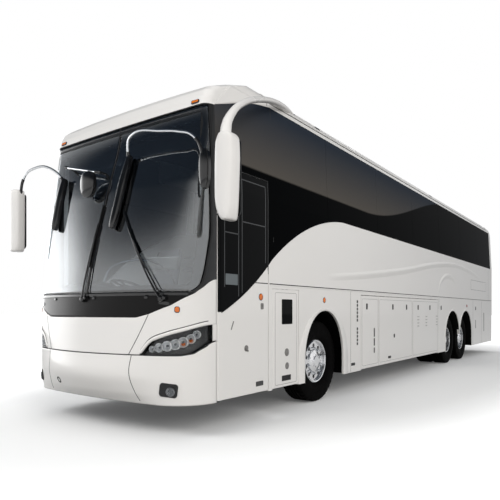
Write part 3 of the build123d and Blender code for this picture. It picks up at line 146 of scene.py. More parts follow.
@dataclass(frozen=True)
class Finish:
    """One real material: the record's slot, its colours, gloss and close pattern. Sizes are in millimetres."""
    name: str
    slot: str
    colour: str
    second: str
    patch: float
    roughness: float
    spread: float
    metallic: float = 0.0
    ior: float = 1.5
    coat: float = 0.0
    transmission: float = 0.0
    sheen: float = 0.0
    glow: float = 0.0
    pattern: Pattern = Pattern.SMOOTH
    grain: float = 5.0
    depth: float = 0.1
    # Two colours of a painted reflection on the upper glass, or None
    reflection_colours: tuple[str, str] | None = None

    def make(self) -> bpy.types.Material:
        """The material, made once for each name: colour and roughness drift over patches, the pattern lifts the
        surface."""
        if self.name in bpy.data.materials:
            return bpy.data.materials[self.name]
        material = bpy.data.materials.new(self.name)
        graph = Graph(material)
        place = graph.add("ShaderNodeTexCoord").outputs["Object"]
        patches = graph.noise(place, 1000 / self.patch, 4.0)
        colour = graph.blend(patches, linear(self.colour), linear(self.second))
        # Painted reflection band on the upper glass, where reflection colours are given
        if self.reflection_colours:
            colour = self.paint_reflection_band(graph, place, colour)
        inputs = {"Base Color": colour, "Metallic": self.metallic, "IOR": self.ior, "Coat Weight": self.coat,
                  "Coat Roughness": 0.05, "Transmission Weight": self.transmission, "Sheen Weight": self.sheen,
                  "Emission Strength": self.glow, "Emission Color": linear(self.colour),
                  "Roughness": graph.ramp(patches, 0.3, 0.7, max(0.0, self.roughness - self.spread),
                                          min(1.0, self.roughness + self.spread), "LINEAR")}
        height = self.height(graph, place)
        if height is not None:
            inputs["Normal"] = graph.add("ShaderNodeBump", {"Strength": 0.6, "Distance": self.depth / 1000,
                                                            "Height": height}).outputs["Normal"]
        shader = graph.add("ShaderNodeBsdfPrincipled", inputs)
        graph.add("ShaderNodeOutputMaterial", {"Surface": shader.outputs["BSDF"]})
        return material

    def paint_reflection_band(self, graph: Graph, place: bpy.types.NodeSocket,
                   colour: bpy.types.NodeSocket) -> bpy.types.NodeSocket:
        """Painted reflection on the upper part of the glass: a band of colour that stands in for the studio mirrored
        there. Its lower edge climbs from one height ahead to the glass's top behind, and its colour drifts between the
        two reflection colours.

        Args:
            graph: the node tree.
            place: the place on the object.
            colour: the glass's own colour.
        Returns:
            The mixed colour.
        """
        foot, top, edge = 2.74, 3.6, 0.015
        axes = graph.add("ShaderNodeSeparateXYZ", {"Vector": place}).outputs
        above = graph.math("SUBTRACT", axes["Z"], graph.ramp(axes["Y"], -2.6, 2.2, foot, top))
        # Painted reflection: brown low and slate high, standing in for the studio mirrored in the upper glass
        painted_reflection_colour = graph.blend(graph.ramp(axes["Z"], foot, 3.45, kind="LINEAR"), *map(linear, self.reflection_colours))
        return graph.blend(graph.ramp(above, -edge, edge), colour, painted_reflection_colour)

    def height(self, graph: Graph, place: bpy.types.NodeSocket) -> bpy.types.NodeSocket | None:
        """Height of the pattern at a place, or None where the surface is smooth."""
        scale = 1000 / self.grain
        if self.pattern is Pattern.GRAIN:
            return graph.noise(place, scale, 3.0)
        if self.pattern is Pattern.WEAVE:
            return graph.math("MULTIPLY", graph.wave(place, scale, "Y"), graph.wave(place, scale, "Z"))
        if self.pattern is Pattern.RIBS:
            return graph.wave(place, scale, "X")
        if self.pattern is Pattern.BRUSHED:
            line = graph.add("ShaderNodeMapping", {"Vector": place, "Scale": (1.0, 0.04, 0.04)})
            return graph.noise(line.outputs["Vector"], scale, 2.0)
        return None


GRAIN, RIBS = Pattern.GRAIN, Pattern.RIBS
WHITE, GLASS, PLASTIC, METAL, GREY = "body_white", "black_glass", "black_plastic", "polished_aluminium", "trim_grey"
# Two-pack polyurethane over steel and fibreglass: deep gloss with a faint orange peel
PAINT = Finish("gloss_white_paint", WHITE, "EDEBE8", "E9E6E2", 1600, 0.3, 0.03, coat=0.4)
# Toughened glass with a black ceramic print behind it, and the same in the flank with a painted reflection on its upper
# part: a brown to slate band that stands in for the mirrored studio
BLACK_GLASS = Finish("printed_black_glass", GLASS, "060708", "090A0C", 1200, 0.04, 0.015, ior=1.1)
SIDE_GLASS_PAINTED_REFLECTION = Finish("side_glass_painted_reflection", GLASS, "050607", "08090A", 1200, 0.04, 0.015, ior=1.03,
                      reflection_colours=("57534E", "2E343D"))
# Ceramic print on the inside of the screen's edge
FRIT = Finish("ceramic_frit", GLASS, "0C0E12", "12151A", 300, 0.35, 0.08, pattern=GRAIN, depth=0.05)
# Laminated windscreen glass with a grey tint; its high index mirrors the studio as a coated screen does
CLEAR_GLASS = Finish("laminated_glass", "clear_glass", "A9B4BC", "B2BCC3", 1500, 0.02, 0.01, ior=2.3, transmission=1.0)
# Hard-coated lamp cover, and the thicker polycarbonate lens
COVER = Finish("lamp_cover_glass", "lamp_lens", "F2F4F5", "F6F7F8", 600, 0.03, 0.01, ior=1.14, transmission=1.0)
LENS = Finish("clear_polycarbonate", "lamp_lens", "E4E9EC", "EEF1F2", 300, 0.04, 0.02, ior=1.58, transmission=0.9)
# Dyed acrylic lenses with moulded flutes
AMBER = Finish("amber_acrylic", "amber_lens", "D2600E", "E07A1C", 60, 0.12, 0.05, coat=0.5, glow=0.05, pattern=RIBS,
               grain=6, depth=0.5)
RED = Finish("red_acrylic", "red_lens", "A80F12", "BE1A18", 60, 0.12, 0.05, coat=0.5, glow=0.04, pattern=RIBS,
             grain=6, depth=0.5)
# Black enamels of the cowl, and of lamp bezels and wipers
COWL = Finish("black_cowl_enamel", PLASTIC, "0B0A0A", "100F0F", 400, 0.24, 0.05, ior=1.25)
GLOSS_BLACK = Finish("gloss_black_enamel", PLASTIC, "0A0A0B", "121213", 200, 0.16, 0.06, coat=0.4)
# Moulded ABS: satin with a fine spark-eroded grain
BLACK_PLASTIC = Finish("moulded_black_abs", PLASTIC, "101112", "17181A", 160, 0.42, 0.1, pattern=GRAIN, grain=4,
                       depth=0.12)
# Smoked frame lines behind the door glass
SMOKE = Finish("smoked_frame", PLASTIC, "1E2023", "24272A", 200, 0.35, 0.08)
# Polyurethane sealant round the glass: matt black
SEALANT = Finish("black_sealant", PLASTIC, "0B0B0C", "111112", 90, 0.55, 0.08, pattern=GRAIN, grain=6, depth=0.2)
# Shadow inside a panel joint, and where the joint is shallow and half lit
SEAM = Finish("dark_panel_joint", PLASTIC, "1B1B1C", "262626", 120, 0.7, 0.08)
SOFT_SEAM = Finish("shallow_panel_joint", PLASTIC, "8F8E8B", "9A9996", 120, 0.7, 0.08)
# Aluminised bowl of the headlamps and the dull reflector of the fog lamps
REFLECTOR = Finish("aluminised_bowl", METAL, "FBFBFB", "F0F1F2", 40, 0.3, 0.05, metallic=0.5)
DULL_METAL = Finish("dull_reflector", METAL, "77797B", "696B6D", 60, 0.3, 0.08, metallic=0.8)
# Cast handles and locks: satin zinc
ZINC = Finish("satin_zinc", METAL, "8B8986", "7C7A77", 60, 0.36, 0.06, metallic=0.5, pattern=GRAIN, grain=3, depth=0.05)
# Forged and polished aluminium with lathe marks, chromed tubes and silvered glass
ALUMINIUM = Finish("polished_aluminium", METAL, "D8DADD", "C6C9CD", 120, 0.16, 0.06, metallic=1.0,
                   pattern=Pattern.BRUSHED, grain=3, depth=0.05)
CHROME = Finish("chromed_steel", METAL, "E6E8EA", "D6D9DC", 200, 0.07, 0.03, metallic=1.0)
MIRROR = Finish("silvered_glass", METAL, "DADEE2", "E2E6E9", 900, 0.02, 0.01, metallic=1.0)
# Carbon-black tread rubber: dull, a little dusty
RUBBER = Finish("vulcanised_rubber", "tyre_rubber", "060606", "0C0B0B", 90, 0.78, 0.1, ior=1.12, pattern=GRAIN,
                grain=3, depth=0.25)
# Chassis steel under black chassis paint, dulled by the road
STEEL = Finish("painted_chassis_steel", "chassis_steel", "222325", "33312F", 250, 0.55, 0.14, metallic=0.4,
               pattern=GRAIN, grain=8, depth=0.3)
# Vinyl flooring with a pressed stud grain
FLOORING = Finish("grey_vinyl_flooring", "floor_covering", "3E4145", "4A4D50", 200, 0.6, 0.08, pattern=GRAIN,
                  grain=6, depth=0.3)
# Moquette: short wool pile in a woven ground, drawn at 4 mm so that it shows
FABRIC = Finish("grey_moquette", "seat_fabric", "3A3F4A", "4C515C", 70, 0.9, 0.05, sheen=0.4, pattern=Pattern.WEAVE,
                grain=4, depth=0.6)
# Vacuum-formed trim, the pale folder and plate blank, the blank label, and the dark textile ceiling
TRIM = Finish("grey_moulded_trim", GREY, "8F9294", "9B9E9F", 300, 0.5, 0.08, pattern=GRAIN, depth=0.15)
TRIM_PALE = Finish("pale_moulded_plastic", GREY, "D9D8D2", "CFCEC8", 200, 0.5, 0.08, pattern=GRAIN, depth=0.1)
LABEL = Finish("blank_label", GREY, "596063", "636A6D", 80, 0.5, 0.08)
LINING = Finish("dark_needle_felt", GREY, "24272D", "2C3037", 120, 0.9, 0.05, pattern=GRAIN, depth=0.4)

SLOTS = {finish.slot: finish for finish in (PAINT, BLACK_GLASS, CLEAR_GLASS, BLACK_PLASTIC, LENS, AMBER, RED, RUBBER,
                                            ALUMINIUM, STEEL, FLOORING, FABRIC, TRIM)}


# ---------------------------------------------------------------- curves and grids

def hermite(knots: Points, values: Points, tilt: Points, at: Points) -> Points:
    """Cubic through knots: each span blends its two values and its two slopes.

    Args:
        knots: rising numbers.
        values: one row of values for each knot.
        tilt: one row of slopes for each knot.
        at: where to read the curve, any shape.
    Returns:
        Values with one more axis than at.
    """
    span = np.clip(np.searchsorted(knots, at) - 1, 0, len(knots) - 2)
    width = np.diff(knots)[span]
    t = np.clip((at - knots[span]) / width, 0, 1)[..., None]
    width = width[..., None]
    return ((2 * t ** 3 - 3 * t ** 2 + 1) * values[span] + (t ** 3 - 2 * t ** 2 + t) * width * tilt[span]
            + (3 * t ** 2 - 2 * t ** 3) * values[span + 1] + (t ** 3 - t ** 2) * width * tilt[span + 1])


def smooth(knots: Points, values: Points, at: Points) -> Points:
    """Cubic whose slope at each knot is the harmonic mean of the slopes beside it, nought at a turning point."""
    knots, values = np.asarray(knots, float), np.asarray(values, float)
    runs = np.diff(values, axis=0) / np.diff(knots)[:, None]
    before, after = runs[:-1], runs[1:]
    same = before * after > 0
    middle = np.where(same, 2 * before * after / np.where(same, before + after, 1), 0)
    return hermite(knots, values, np.vstack([runs[:1], middle, runs[-1:]]), at)


def bend(points: Sequence[Sequence[float]], count: int) -> Points:
    """Smooth line through points, read at a count of even steps of their chord length."""
    points = np.asarray(points, float)
    run = np.concatenate([[0], np.cumsum(np.linalg.norm(np.diff(points, axis=0), axis=1))])
    return hermite(run, points, np.gradient(points, run, axis=0), np.linspace(0, run[-1], count))


def straight(start: Sequence[float], stop: Sequence[float], count: int) -> Points:
    """Points at even steps from one point to another."""
    start = np.asarray(start, float)
    return start + (np.asarray(stop, float) - start) * np.linspace(0, 1, count)[:, None]


def unit(vectors: Points) -> Points:
    """Vectors of length one."""
    vectors = np.asarray(vectors, float)
    return vectors / np.maximum(np.linalg.norm(vectors, axis=-1, keepdims=True), 1e-12)


def rounded(half_u: float, half_v: float, corner: float, steps: int = 5) -> Points:
    """Outline of a rounded rectangle: each corner is a quarter circle of some steps."""
    corner = min(corner, half_u, half_v)
    turn = np.linspace(0, QUARTER, steps + 1)[None, :] + np.arange(4)[:, None] * QUARTER
    signs = np.array([[1, 1], [-1, 1], [-1, -1], [1, -1]])[:, None, :]
    middle = signs * np.array([half_u - corner, half_v - corner])
    return (middle + corner * np.stack([np.cos(turn), np.sin(turn)], -1)).reshape(-1, 2)


def around(count: int, shift: float = 0.0) -> Points:
    """Angles at even steps round a circle."""
    return (np.arange(count) + shift) * 2 * math.pi / count


def oval(power: float, count: int) -> Points:
    """Superellipse of half width one: cosine and sine raised to two over the power, signs kept."""
    wave = np.stack([np.cos(around(count)), np.sin(around(count))], -1)
    return np.sign(wave) * np.abs(wave) ** (2 / power)


class Form:
    """Collects grids of points and makes one mesh of them."""
    MERGE = 2e-5
    SHARP = math.radians(35)

    def __init__(self, name: str) -> None:
        """Starts an empty form with the piece's name."""
        self.name = name
        self.points: list[Points] = []
        self.faces: list[np.ndarray] = []
        self.slots: list[np.ndarray] = []
        self.count = 0

    def store(self, points: Points, faces: np.ndarray, slot: int = 0) -> None:
        """Keeps points and faces of one material number."""
        self.points.append(points)
        self.faces.append(faces + self.count)
        self.slots.append(np.full(len(faces), slot))
        self.count += len(points)

    def grid(self, points: Points, slot: int = 0, round_u: bool = False, round_v: bool = False) -> None:
        """Adds a surface given on a grid, one quad between each four neighbours.

        Args:
            points: array of rows by columns by three.
            slot: material number.
            round_u: joins the last row to the first.
            round_v: joins the last column to the first.
        """
        rows, columns = points.shape[:2]
        u = np.arange(rows if round_u else rows - 1)[:, None]
        v = np.arange(columns if round_v else columns - 1)[None, :]
        near, far = (u + 1) % rows, (v + 1) % columns
        quads = np.stack([u * columns + v, near * columns + v, near * columns + far, u * columns + far], -1)
        self.store(points.reshape(-1, 3), quads.reshape(-1, 4), slot)

    def fan(self, ring: Points) -> None:
        """Closes a ring with triangles to its middle."""
        run = np.arange(len(ring))
        faces = np.stack([run, (run + 1) % len(ring), np.full(len(ring), len(ring))], -1)
        self.store(np.vstack([ring, ring.mean(0)]), faces)

    def sleeve(self, rings: Points) -> None:
        """Joins rings to a tube and closes its ends."""
        self.grid(rings, round_v=True)
        self.fan(rings[0])
        self.fan(rings[-1])

    def strip(self, path: Points, normal: Points, section: Points) -> None:
        """Carries a closed section along a line that lies on a surface.

        Args:
            path: points of the line.
            normal: the surface's normal, one for all or one for each point.
            section: points across and out of the surface.
        """
        normal, section = np.broadcast_to(unit(normal), path.shape), np.asarray(section, float)
        aside = unit(np.cross(unit(np.gradient(path, axis=0)), normal))
        self.sleeve(path[:, None] + aside[:, None] * section[None, :, :1] + normal[:, None] * section[None, :, 1:])

    def line(self, path: Points, normal: Points, width: float, height: float, sink: float = 0.004) -> None:
        """A flat-topped strip with bevelled edges, as a seam, seal or moulding.

        Args:
            path: points of the line.
            normal: the surface's normal.
            width: how wide it is.
            height: how far it stands out.
            sink: how far it goes in.
        """
        half, edge = width / 2, min(width / 4, height / 2)
        self.strip(path, normal, [(-half, -sink), (-half, height - edge), (edge - half, height), (half - edge, height),
                                  (half, height - edge), (half, -sink)])

    def tube(self, path: Points, radius: Points | float, aside: Sequence[float] = (0, 0, 1), count: int = 14,
             flat: float = 1.0) -> None:
        """Round or oval bar along a line, closed at its ends.

        Args:
            path: points of the line.
            radius: its radius, one for all or one for each point.
            aside: a direction that the line never takes.
            count: sides.
            flat: its second half width over the first.
        """
        along = unit(np.gradient(np.asarray(path, float), axis=0))
        first = unit(np.cross(along, np.asarray(aside, float)))
        second = np.cross(along, first)
        radius = np.broadcast_to(radius, (len(path),))[:, None, None]
        ring = oval(2.0, count)
        self.sleeve(np.asarray(path, float)[:, None]
                    + radius * (first[:, None] * ring[None, :, :1] + flat * second[:, None] * ring[None, :, 1:]))

    def plate(self, middle: Sequence[float], along: Sequence[float], out: Sequence[float], half_u: float,
              half_v: float, corner: float, height: float, sink: float = 0.004) -> None:
        """Rounded plate on a surface: its outline rises, then steps in by a bevel to its top.

        Args:
            middle: its middle on the surface.
            along: direction of its width.
            out: the surface's normal.
            half_u: half its width.
            half_v: half its height.
            corner: corner radius.
            height: how far it stands out.
            sink: how far it goes in.
        """
        out, middle, along = unit(out), np.asarray(middle, float), np.asarray(along, float)
        along = unit(along - out * (along @ out))
        up = np.cross(out, along)
        edge = min(height * 0.5, half_u * 0.3, half_v * 0.3)
        top = (half_u - edge, half_v - edge, max(corner - edge, 1e-4))
        loops = [(rounded(half_u, half_v, corner), -sink), (rounded(half_u, half_v, corner), height - edge),
                 (rounded(*top), height), (rounded(*(0.55 * size for size in top)), height)]
        points = np.stack([middle + loop[:, :1] * along + loop[:, 1:] * up + out * rise for loop, rise in loops])
        self.grid(points, round_v=True)
        self.fan(points[-1])

    def lathe(self, profile: Sequence, centre: Sequence[float], axis: Sequence[float], slot: int = 0,
              count: int = 32) -> None:
        """Turns a profile about an axis.

        Args:
            profile: distance along the axis and radius, point by point.
            centre: the axis's origin.
            axis: its direction.
            slot: material number.
            count: steps round.
        """
        axis, profile = unit(axis), np.asarray(profile, float)
        first = unit(np.cross(axis, UP if abs(axis[2]) < 0.9 else RIGHTWARDS))
        second = np.cross(axis, first)
        ring = first * np.cos(around(count))[:, None] + second * np.sin(around(count))[:, None]
        self.grid(np.asarray(centre, float) + axis * profile[:, None, :1] + ring[None] * profile[:, None, 1:], slot,
                  round_v=True)

    def dome(self, centre: Sequence[float], axis: Sequence[float], foot: float, rise: float, radius: float,
             steps: int = 8) -> None:
        """Round dome on an axis: its rim stands off the centre by its foot, its top by the rise more."""
        fall = np.cos(np.linspace(0, QUARTER, steps))
        self.lathe(np.column_stack([foot + rise * (1 - fall), radius * fall])[::-1], centre, axis)

    def loft(self, path: Points, half_u: Points, half_v: Points, out: Sequence[float], power: float,
             count: int = 40) -> None:
        """Closed shell: superellipses along a line, wide along X.

        Args:
            path: middles of the rings.
            half_u: half widths.
            half_v: half depths.
            out: direction of the depth.
            power: how square the rings are, two for an ellipse.
            count: points in a ring.
        """
        ring = oval(power, count)
        self.sleeve(path[:, None] + half_u[:, None, None] * ring[None, :, :1] * RIGHTWARDS
                    + half_v[:, None, None] * ring[None, :, 1:] * np.asarray(out, float))

    def repeat(self, other: "Form", places: Points) -> None:
        """Adds copies of another form at places."""
        points, faces = np.vstack(other.points), np.array(
            [tuple(face) + (face[-1],) * (4 - len(face)) for block in other.faces for face in block.tolist()])
        copies = points + np.asarray(places, float)[:, None]
        shift = (np.arange(len(places)) * len(points))[:, None, None]
        self.store(copies.reshape(-1, 3), (faces[None] + shift).reshape(-1, 4))

    def build(self, *finishes: Finish, body: str = "coach_body", slot: str = "", stands_for: Sequence[str] = (),
              weld: bool = True, wall: float = 0.0) -> bpy.types.Object:
        """Makes the mesh, merges its doubles, turns its faces outwards and lets it ride on a body.

        Args:
            finishes: the finishes by number.
            body: the body that it rides on, or nothing for the studio.
            slot: the record's material slot, or nothing for the first finish's own; not used.
            stands_for: nodes that it replaces.
            weld: merges doubles and turns the faces outwards.
            wall: thickness given inwards.
        Returns:
            The object.
        """
        mesh = bpy.data.meshes.new(self.name)
        faces = [tuple(dict.fromkeys(face)) for block in self.faces for face in block.tolist()]
        mesh.from_pydata(np.vstack(self.points).tolist(), [], faces)
        for finish in finishes:
            mesh.materials.append(finish.make())
            slot = slot or finish.slot
        mesh.polygons.foreach_set("material_index", np.concatenate(self.slots).astype(np.int32))
        if weld:
            work = bmesh.new()
            work.from_mesh(mesh)
            bmesh.ops.remove_doubles(work, verts=work.verts, dist=self.MERGE)
            bmesh.ops.recalc_face_normals(work, faces=work.faces)
            work.to_mesh(mesh)
            work.free()
        mesh.polygons.foreach_set("use_smooth", np.full(len(mesh.polygons), True))
        mesh.update()
        mesh.set_sharp_from_angle(angle=self.SHARP)
        piece = bpy.data.objects.new(self.name, mesh)
        bpy.context.scene.collection.objects.link(piece)
        if wall:
            shell = piece.modifiers.new("wall", "SOLIDIFY")
            shell.thickness, shell.offset = wall, -1
        if body:
            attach(piece, body)
        if stands_for:
            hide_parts(*stands_for)
        LOG.info("%s: %d faces on %s", self.name, len(mesh.polygons), body or "the floor")
        return piece


# ---------------------------------------------------------------- sizes of the body, in metres

HALF, SKIRT, BELT, GLASS_TOP, ROOF = 1.275, 0.315, 2.455, 3.52, 3.79
NOSE, REAR, CAP_REAR = -6.19, 6.85, -5.25
SCREEN_BASE, SCREEN_TOP = 1.375, 3.23
FRONT_AXLE, DRIVE_AXLE, TAG_AXLE = -3.95, 2.33, 3.55
TYRE_R, WHEEL_X, TYRE_W, RIM_R, RIM_W, TWIN = 0.538, 1.0175, 0.315, 0.286, 0.229, 0.345
WAIST_Z, ROOF_FALL, CROWN_HALF = 1.515, 0.08, 1.05
EDGE_X, EDGE_Z, EDGE_R = 1.0189, 3.5057, 0.2066
SIDES = ((1, "left"), (-1, "right"))
DRIVER_X = -0.64
BUMPER_EDGE = np.array([(0, 0.79), (1.13, 0.79), (1.205, 0.806), (1.256, 0.866), (1.29, 0.95)])
COWL_EDGE = np.array([(0, 1.148), (0.7, 1.148), (0.842, 1.183), (1.05, 1.265), (1.203, 1.375)])
MASK_EDGE = np.vstack([COWL_EDGE, [(1.247, 1.441), (1.29, 1.56)]])
LAMP_TOP = np.array([(0.765, 0.8), (0.87, 0.915), (1.049, 0.981), (1.183, 1.03), (1.29, 1.085)])
LAMP_FOOT = np.array([(0.765, 0.8), (1.13, 0.8), (1.198, 0.815), (1.25, 0.875), (1.29, 0.96)])
SCREEN_SIDE = np.array([(1.387, 1.19), (1.465, 1.238), (1.7, 1.258), (2.0, 1.268), (2.577, 1.26), (3.216, 1.226)])
# Turned profile of a marker's bezel, as distance along its axis and radius
BEZEL = [(-0.004, 0.038), (0.003, 0.038), (0.005, 0.035), (0.003, 0.03)]


def half_width(z: Points) -> Points:
    """Half the body's width at a height: upright to the belt, then leaning in."""
    return HALF - 0.05 * np.clip((z - BELT) / (GLASS_TOP - BELT), 0, 1)


def roof_edge(side: int, turn: Points) -> tuple[Points, Points]:
    """Point, as x and z, and normal of the roof's edge arc at an angle from the flank."""
    return (np.stack([side * (EDGE_X + EDGE_R * np.cos(turn)), EDGE_Z + EDGE_R * np.sin(turn)], -1),
            np.stack([side * np.cos(turn), 0 * turn, np.sin(turn)], -1))


class Nose:
    """The curved front: at each height a front arc and two corner arcs, with sizes that change smoothly."""
    HEIGHTS = np.array([0.315, 0.43, 0.6, 0.79, 1.37, 2.455, 3.23, 3.31, 3.39, 3.45, 3.55])
    PLANS = np.array([(0.5, 0.45, 0), (0.6, 0.48, 0), (0.66, 0.5, 0), (0.63, 0.5, 0), (0.562, 0.46, 0),
                      (0.304, 0.25, 0), (0.12, 0.1, 0), (0.13, 0.1, 0.02), (0.14, 0.11, 0.07), (0.16, 0.12, 0.15),
                      (0.2, 0.15, 0.42)])
    STEP = 1e-3
    ROUNDS = 12

    @classmethod
    def plan(cls, z: Points, inset: float) -> tuple[Points, ...]:
        """Half width, depth, corner radius, set-back, front radius and the angle where the corner begins."""
        sizes = smooth(cls.HEIGHTS, cls.PLANS, z)
        depth, radius, back = sizes[..., 0] - inset, sizes[..., 1] - inset, sizes[..., 2]
        half = half_width(z) - inset
        front = ((half - radius) ** 2 + depth ** 2 - radius ** 2) / (2 * (depth - radius))
        return half, depth, radius, back, front, np.arctan2(half - radius, front - depth)

    @classmethod
    def skin(cls, t: Points, z: Points, inset: float = 0.0) -> Points:
        """Points of the surface.

        Args:
            t: share of the arcs' length from the middle to the side, negative to the right.
            z: height.
            inset: how far inside the outer surface.
        Returns:
            The points.
        """
        t, z = np.broadcast_arrays(np.asarray(t, float), np.asarray(z, float))
        half, depth, radius, back, front, turn = cls.plan(z, inset)
        way = np.abs(t) * (front * turn + radius * (QUARTER - turn))
        corner = way > front * turn
        angle = np.where(corner, turn + (way - front * turn) / radius, way / front)
        x = np.where(corner, half - radius + radius * np.sin(angle), front * np.sin(angle))
        y = NOSE + back + np.where(corner, -radius * np.cos(angle), front - depth - front * np.cos(angle))
        return np.stack([np.sign(t) * x, y, z], -1)

    @classmethod
    def share(cls, x: Points, z: Points) -> Points:
        """The t of a point at a distance from the middle and a height."""
        x, z = np.broadcast_arrays(np.asarray(x, float), np.asarray(z, float))
        half, _, radius, _, front, turn = cls.plan(z, 0.0)
        reach = np.minimum(np.abs(x), half)
        flat = front * np.arcsin(np.clip(reach / front, 0, 1))
        bent = front * turn + radius * (np.arcsin(np.clip((reach - half + radius) / radius, -1, 1)) - turn)
        way = np.where(reach > front * np.sin(turn), bent, flat)
        return np.sign(x) * way / (front * turn + radius * (QUARTER - turn))

    @classmethod
    def at(cls, x: Points, z: Points, proud: float = 0.0) -> tuple[Points, Points]:
        """Points on the surface and their normals.

        Args:
            x: distance from the middle.
            z: height.
            proud: how far outside the surface.
        Returns:
            Points and normals.
        """
        t = cls.share(x, z)
        z = np.broadcast_to(np.asarray(z, float), np.shape(t))
        step = cls.STEP
        across = cls.skin(np.clip(t + step, -1, 1), z) - cls.skin(np.clip(t - step, -1, 1), z)
        upward = cls.skin(t, z + step) - cls.skin(t, z - step)
        normal = unit(np.cross(across, upward))
        return cls.skin(t, z) + normal * proud, normal

    @classmethod
    def spot(cls, x: float, z: float) -> tuple[Points, Points]:
        """One point on the surface and its normal."""
        points, normals = cls.at(np.array([x]), np.array([z]))
        return points[0], normals[0]

    @classmethod
    def panel(cls, t: Points, low: Points, high: Points, rows: int, inset: float = 0.0) -> Points:
        """Grid between a lower and an upper edge given in the front view. Each point's height is found again
        from its own distance to the middle until both agree.

        Args:
            t: shares of the way round.
            low: x and z of the lower edge.
            high: x and z of the upper edge.
            rows: points between the edges.
            inset: how far inside the outer surface.
        Returns:
            The grid.
        """
        share = np.linspace(0, 1, rows)[None, :]
        z = np.full((len(t), rows), 1.0)
        for _ in range(cls.ROUNDS):
            x = np.abs(cls.skin(t[:, None], z)[..., 0])
            foot, top = np.interp(x, *low.T), np.interp(x, *high.T)
            z = foot + (np.maximum(top, foot) - foot) * share
        return cls.skin(t[:, None], z, inset)


def on_wall(flat: Points, side: int) -> Points:
    """Points on a side wall from their y and z."""
    flat = np.asarray(flat, float)
    return np.column_stack([side * half_width(flat[:, 1]), flat])


def frame_path(side: int, y: float, z: float, half_y: float, half_z: float, corner: float) -> Points:
    """Closed rounded frame on the upright part of a side wall."""
    loop = rounded(half_y, half_z, corner, 4)
    path = np.column_stack([np.full(len(loop), side * HALF), y + loop[:, 0], z + loop[:, 1]])
    return np.vstack([path, path[:1]])


# ---------------------------------------------------------------- front

@dataclass
class FrontPanels:
    """Bumper, mask, cowl and windscreen as smooth skins, with their joints."""
    wall: float = 0.012
    sink: float = 0.01
    joints: tuple = (((0.835, 1.177), (0.735, 0.97), (0.64, 0.796)),
                     ((0.67, 0.786), (0.655, 0.66), (0.67, 0.53), (0.714, 0.345)))

    def skins(self) -> None:
        """White bumper and mask, and the black cowl between the mask and the screen."""
        t, brow = np.linspace(-1, 1, 121), SCREEN_BASE + 0.008
        for name, node, finish, share, low, high, rows in (
                ("bumper_skin", "front_bumper", PAINT, t, np.array([(0, SKIRT), (2, SKIRT)]),
                 BUMPER_EDGE - (0, 0.003), 40),
                ("mask_skin", "front_mask", PAINT, t, np.vstack([[(0, 0.793), (0.764, 0.793)], LAMP_TOP + (0, 0.003)]),
                 MASK_EDGE - (0, 0.002), 40),
                ("cowl_skin", "cowl_panel", COWL, np.linspace(-1, 1, 81) * float(Nose.share(1.2, SCREEN_BASE)),
                 COWL_EDGE + (0, 0.002), np.array([(0, brow), (2, brow)]), 16)):
            form = Form(name)
            form.grid(Nose.panel(share, low, high, rows))
            form.build(finish, stands_for=[node], wall=self.wall)

    def reach(self, z: Points) -> Points:
        """Distance of the screen's side edge from the middle, which swings in towards the roof."""
        return smooth(SCREEN_SIDE[:, 0], SCREEN_SIDE[:, 1:], z)[..., 0]

    def screens(self) -> None:
        """Two panes from the middle seam to the side edges, the print behind them and the seals round them."""
        z = np.linspace(1.387, 3.216, 60)
        share = np.linspace(0, 1, 50)[:, None]
        pane, frit, seal = Form("windscreen"), Form("windscreen_frit"), Form("windscreen_seals")
        for side in (1, -1):
            start, stop = Nose.share(0.004, z), Nose.share(self.reach(z) - 0.003, z)
            pane.grid(Nose.skin(side * (start + (stop - start) * share), z[None, :]))
            stop = Nose.share(self.reach(z) - 0.001, z)
            frit.grid(Nose.skin(side * (stop - 0.028 + 0.028 * np.linspace(0, 1, 5)[:, None]), z[None, :], 0.012))
        frit.grid(Nose.skin(np.linspace(-0.97, 0.97, 60)[:, None], np.linspace(3.06, 3.228, 8)[None, :], 0.013))
        z, x = np.linspace(1.39, 3.22, 50), np.linspace(-1.19, 1.19, 90)
        runs = [(np.full(50, 0.0001), z, 0.016, 0.003)]
        runs += [(x, np.full(90, height), 0.012, 0.003) for height in (1.384, 3.222)]
        runs += [(side * self.reach(z), z, 0.026, 0.009) for side in (1, -1)]
        for across, height, width, rise in runs:
            seal.line(*Nose.at(across, height), width, rise, sink=0.012)
        pane.build(CLEAR_GLASS, stands_for=["windshield"], wall=0.006)
        frit.build(FRIT, wall=0.002)
        seal.build(SEALANT)

    def seams(self) -> None:
        """Dark joints between the panels, drawn along the surface."""
        form = Form("front_joints")
        x = np.linspace(-1.262, 1.262, 140)
        form.line(*Nose.at(x, np.interp(np.abs(x), *BUMPER_EDGE.T)), 0.009, 0.0012, sink=self.sink)
        for points in self.joints:
            for side in (1, -1):
                flat = bend(points, 24)
                form.line(*Nose.at(side * flat[:, 0], flat[:, 1]), 0.007, 0.0012, sink=self.sink)
        form.build(SEAM)

    def cowl_marks(self) -> None:
        """The cowl's long lip, the washer jets and the grab steps at its corners."""
        form = Form("cowl_trim")
        form.line(*Nose.at(np.linspace(-1.17, 1.17, 70), np.full(70, 1.372)), 0.03, 0.01)
        for x in (-0.62, 0.12, 0.8):
            place, normal = Nose.spot(x, 1.34)
            form.plate(place, RIGHTWARDS, normal, 0.022, 0.012, 0.01, 0.012)
        for side in (1, -1):
            place, normal = Nose.spot(side * 0.99, 1.285)
            form.plate(place, (1, 0, -0.1 * side), normal, 0.055, 0.016, 0.014, 0.004)
        form.build(GLOSS_BLACK)

    def build(self) -> None:
        """Builds the front."""
        self.skins()
        self.screens()
        self.seams()
        self.cowl_marks()


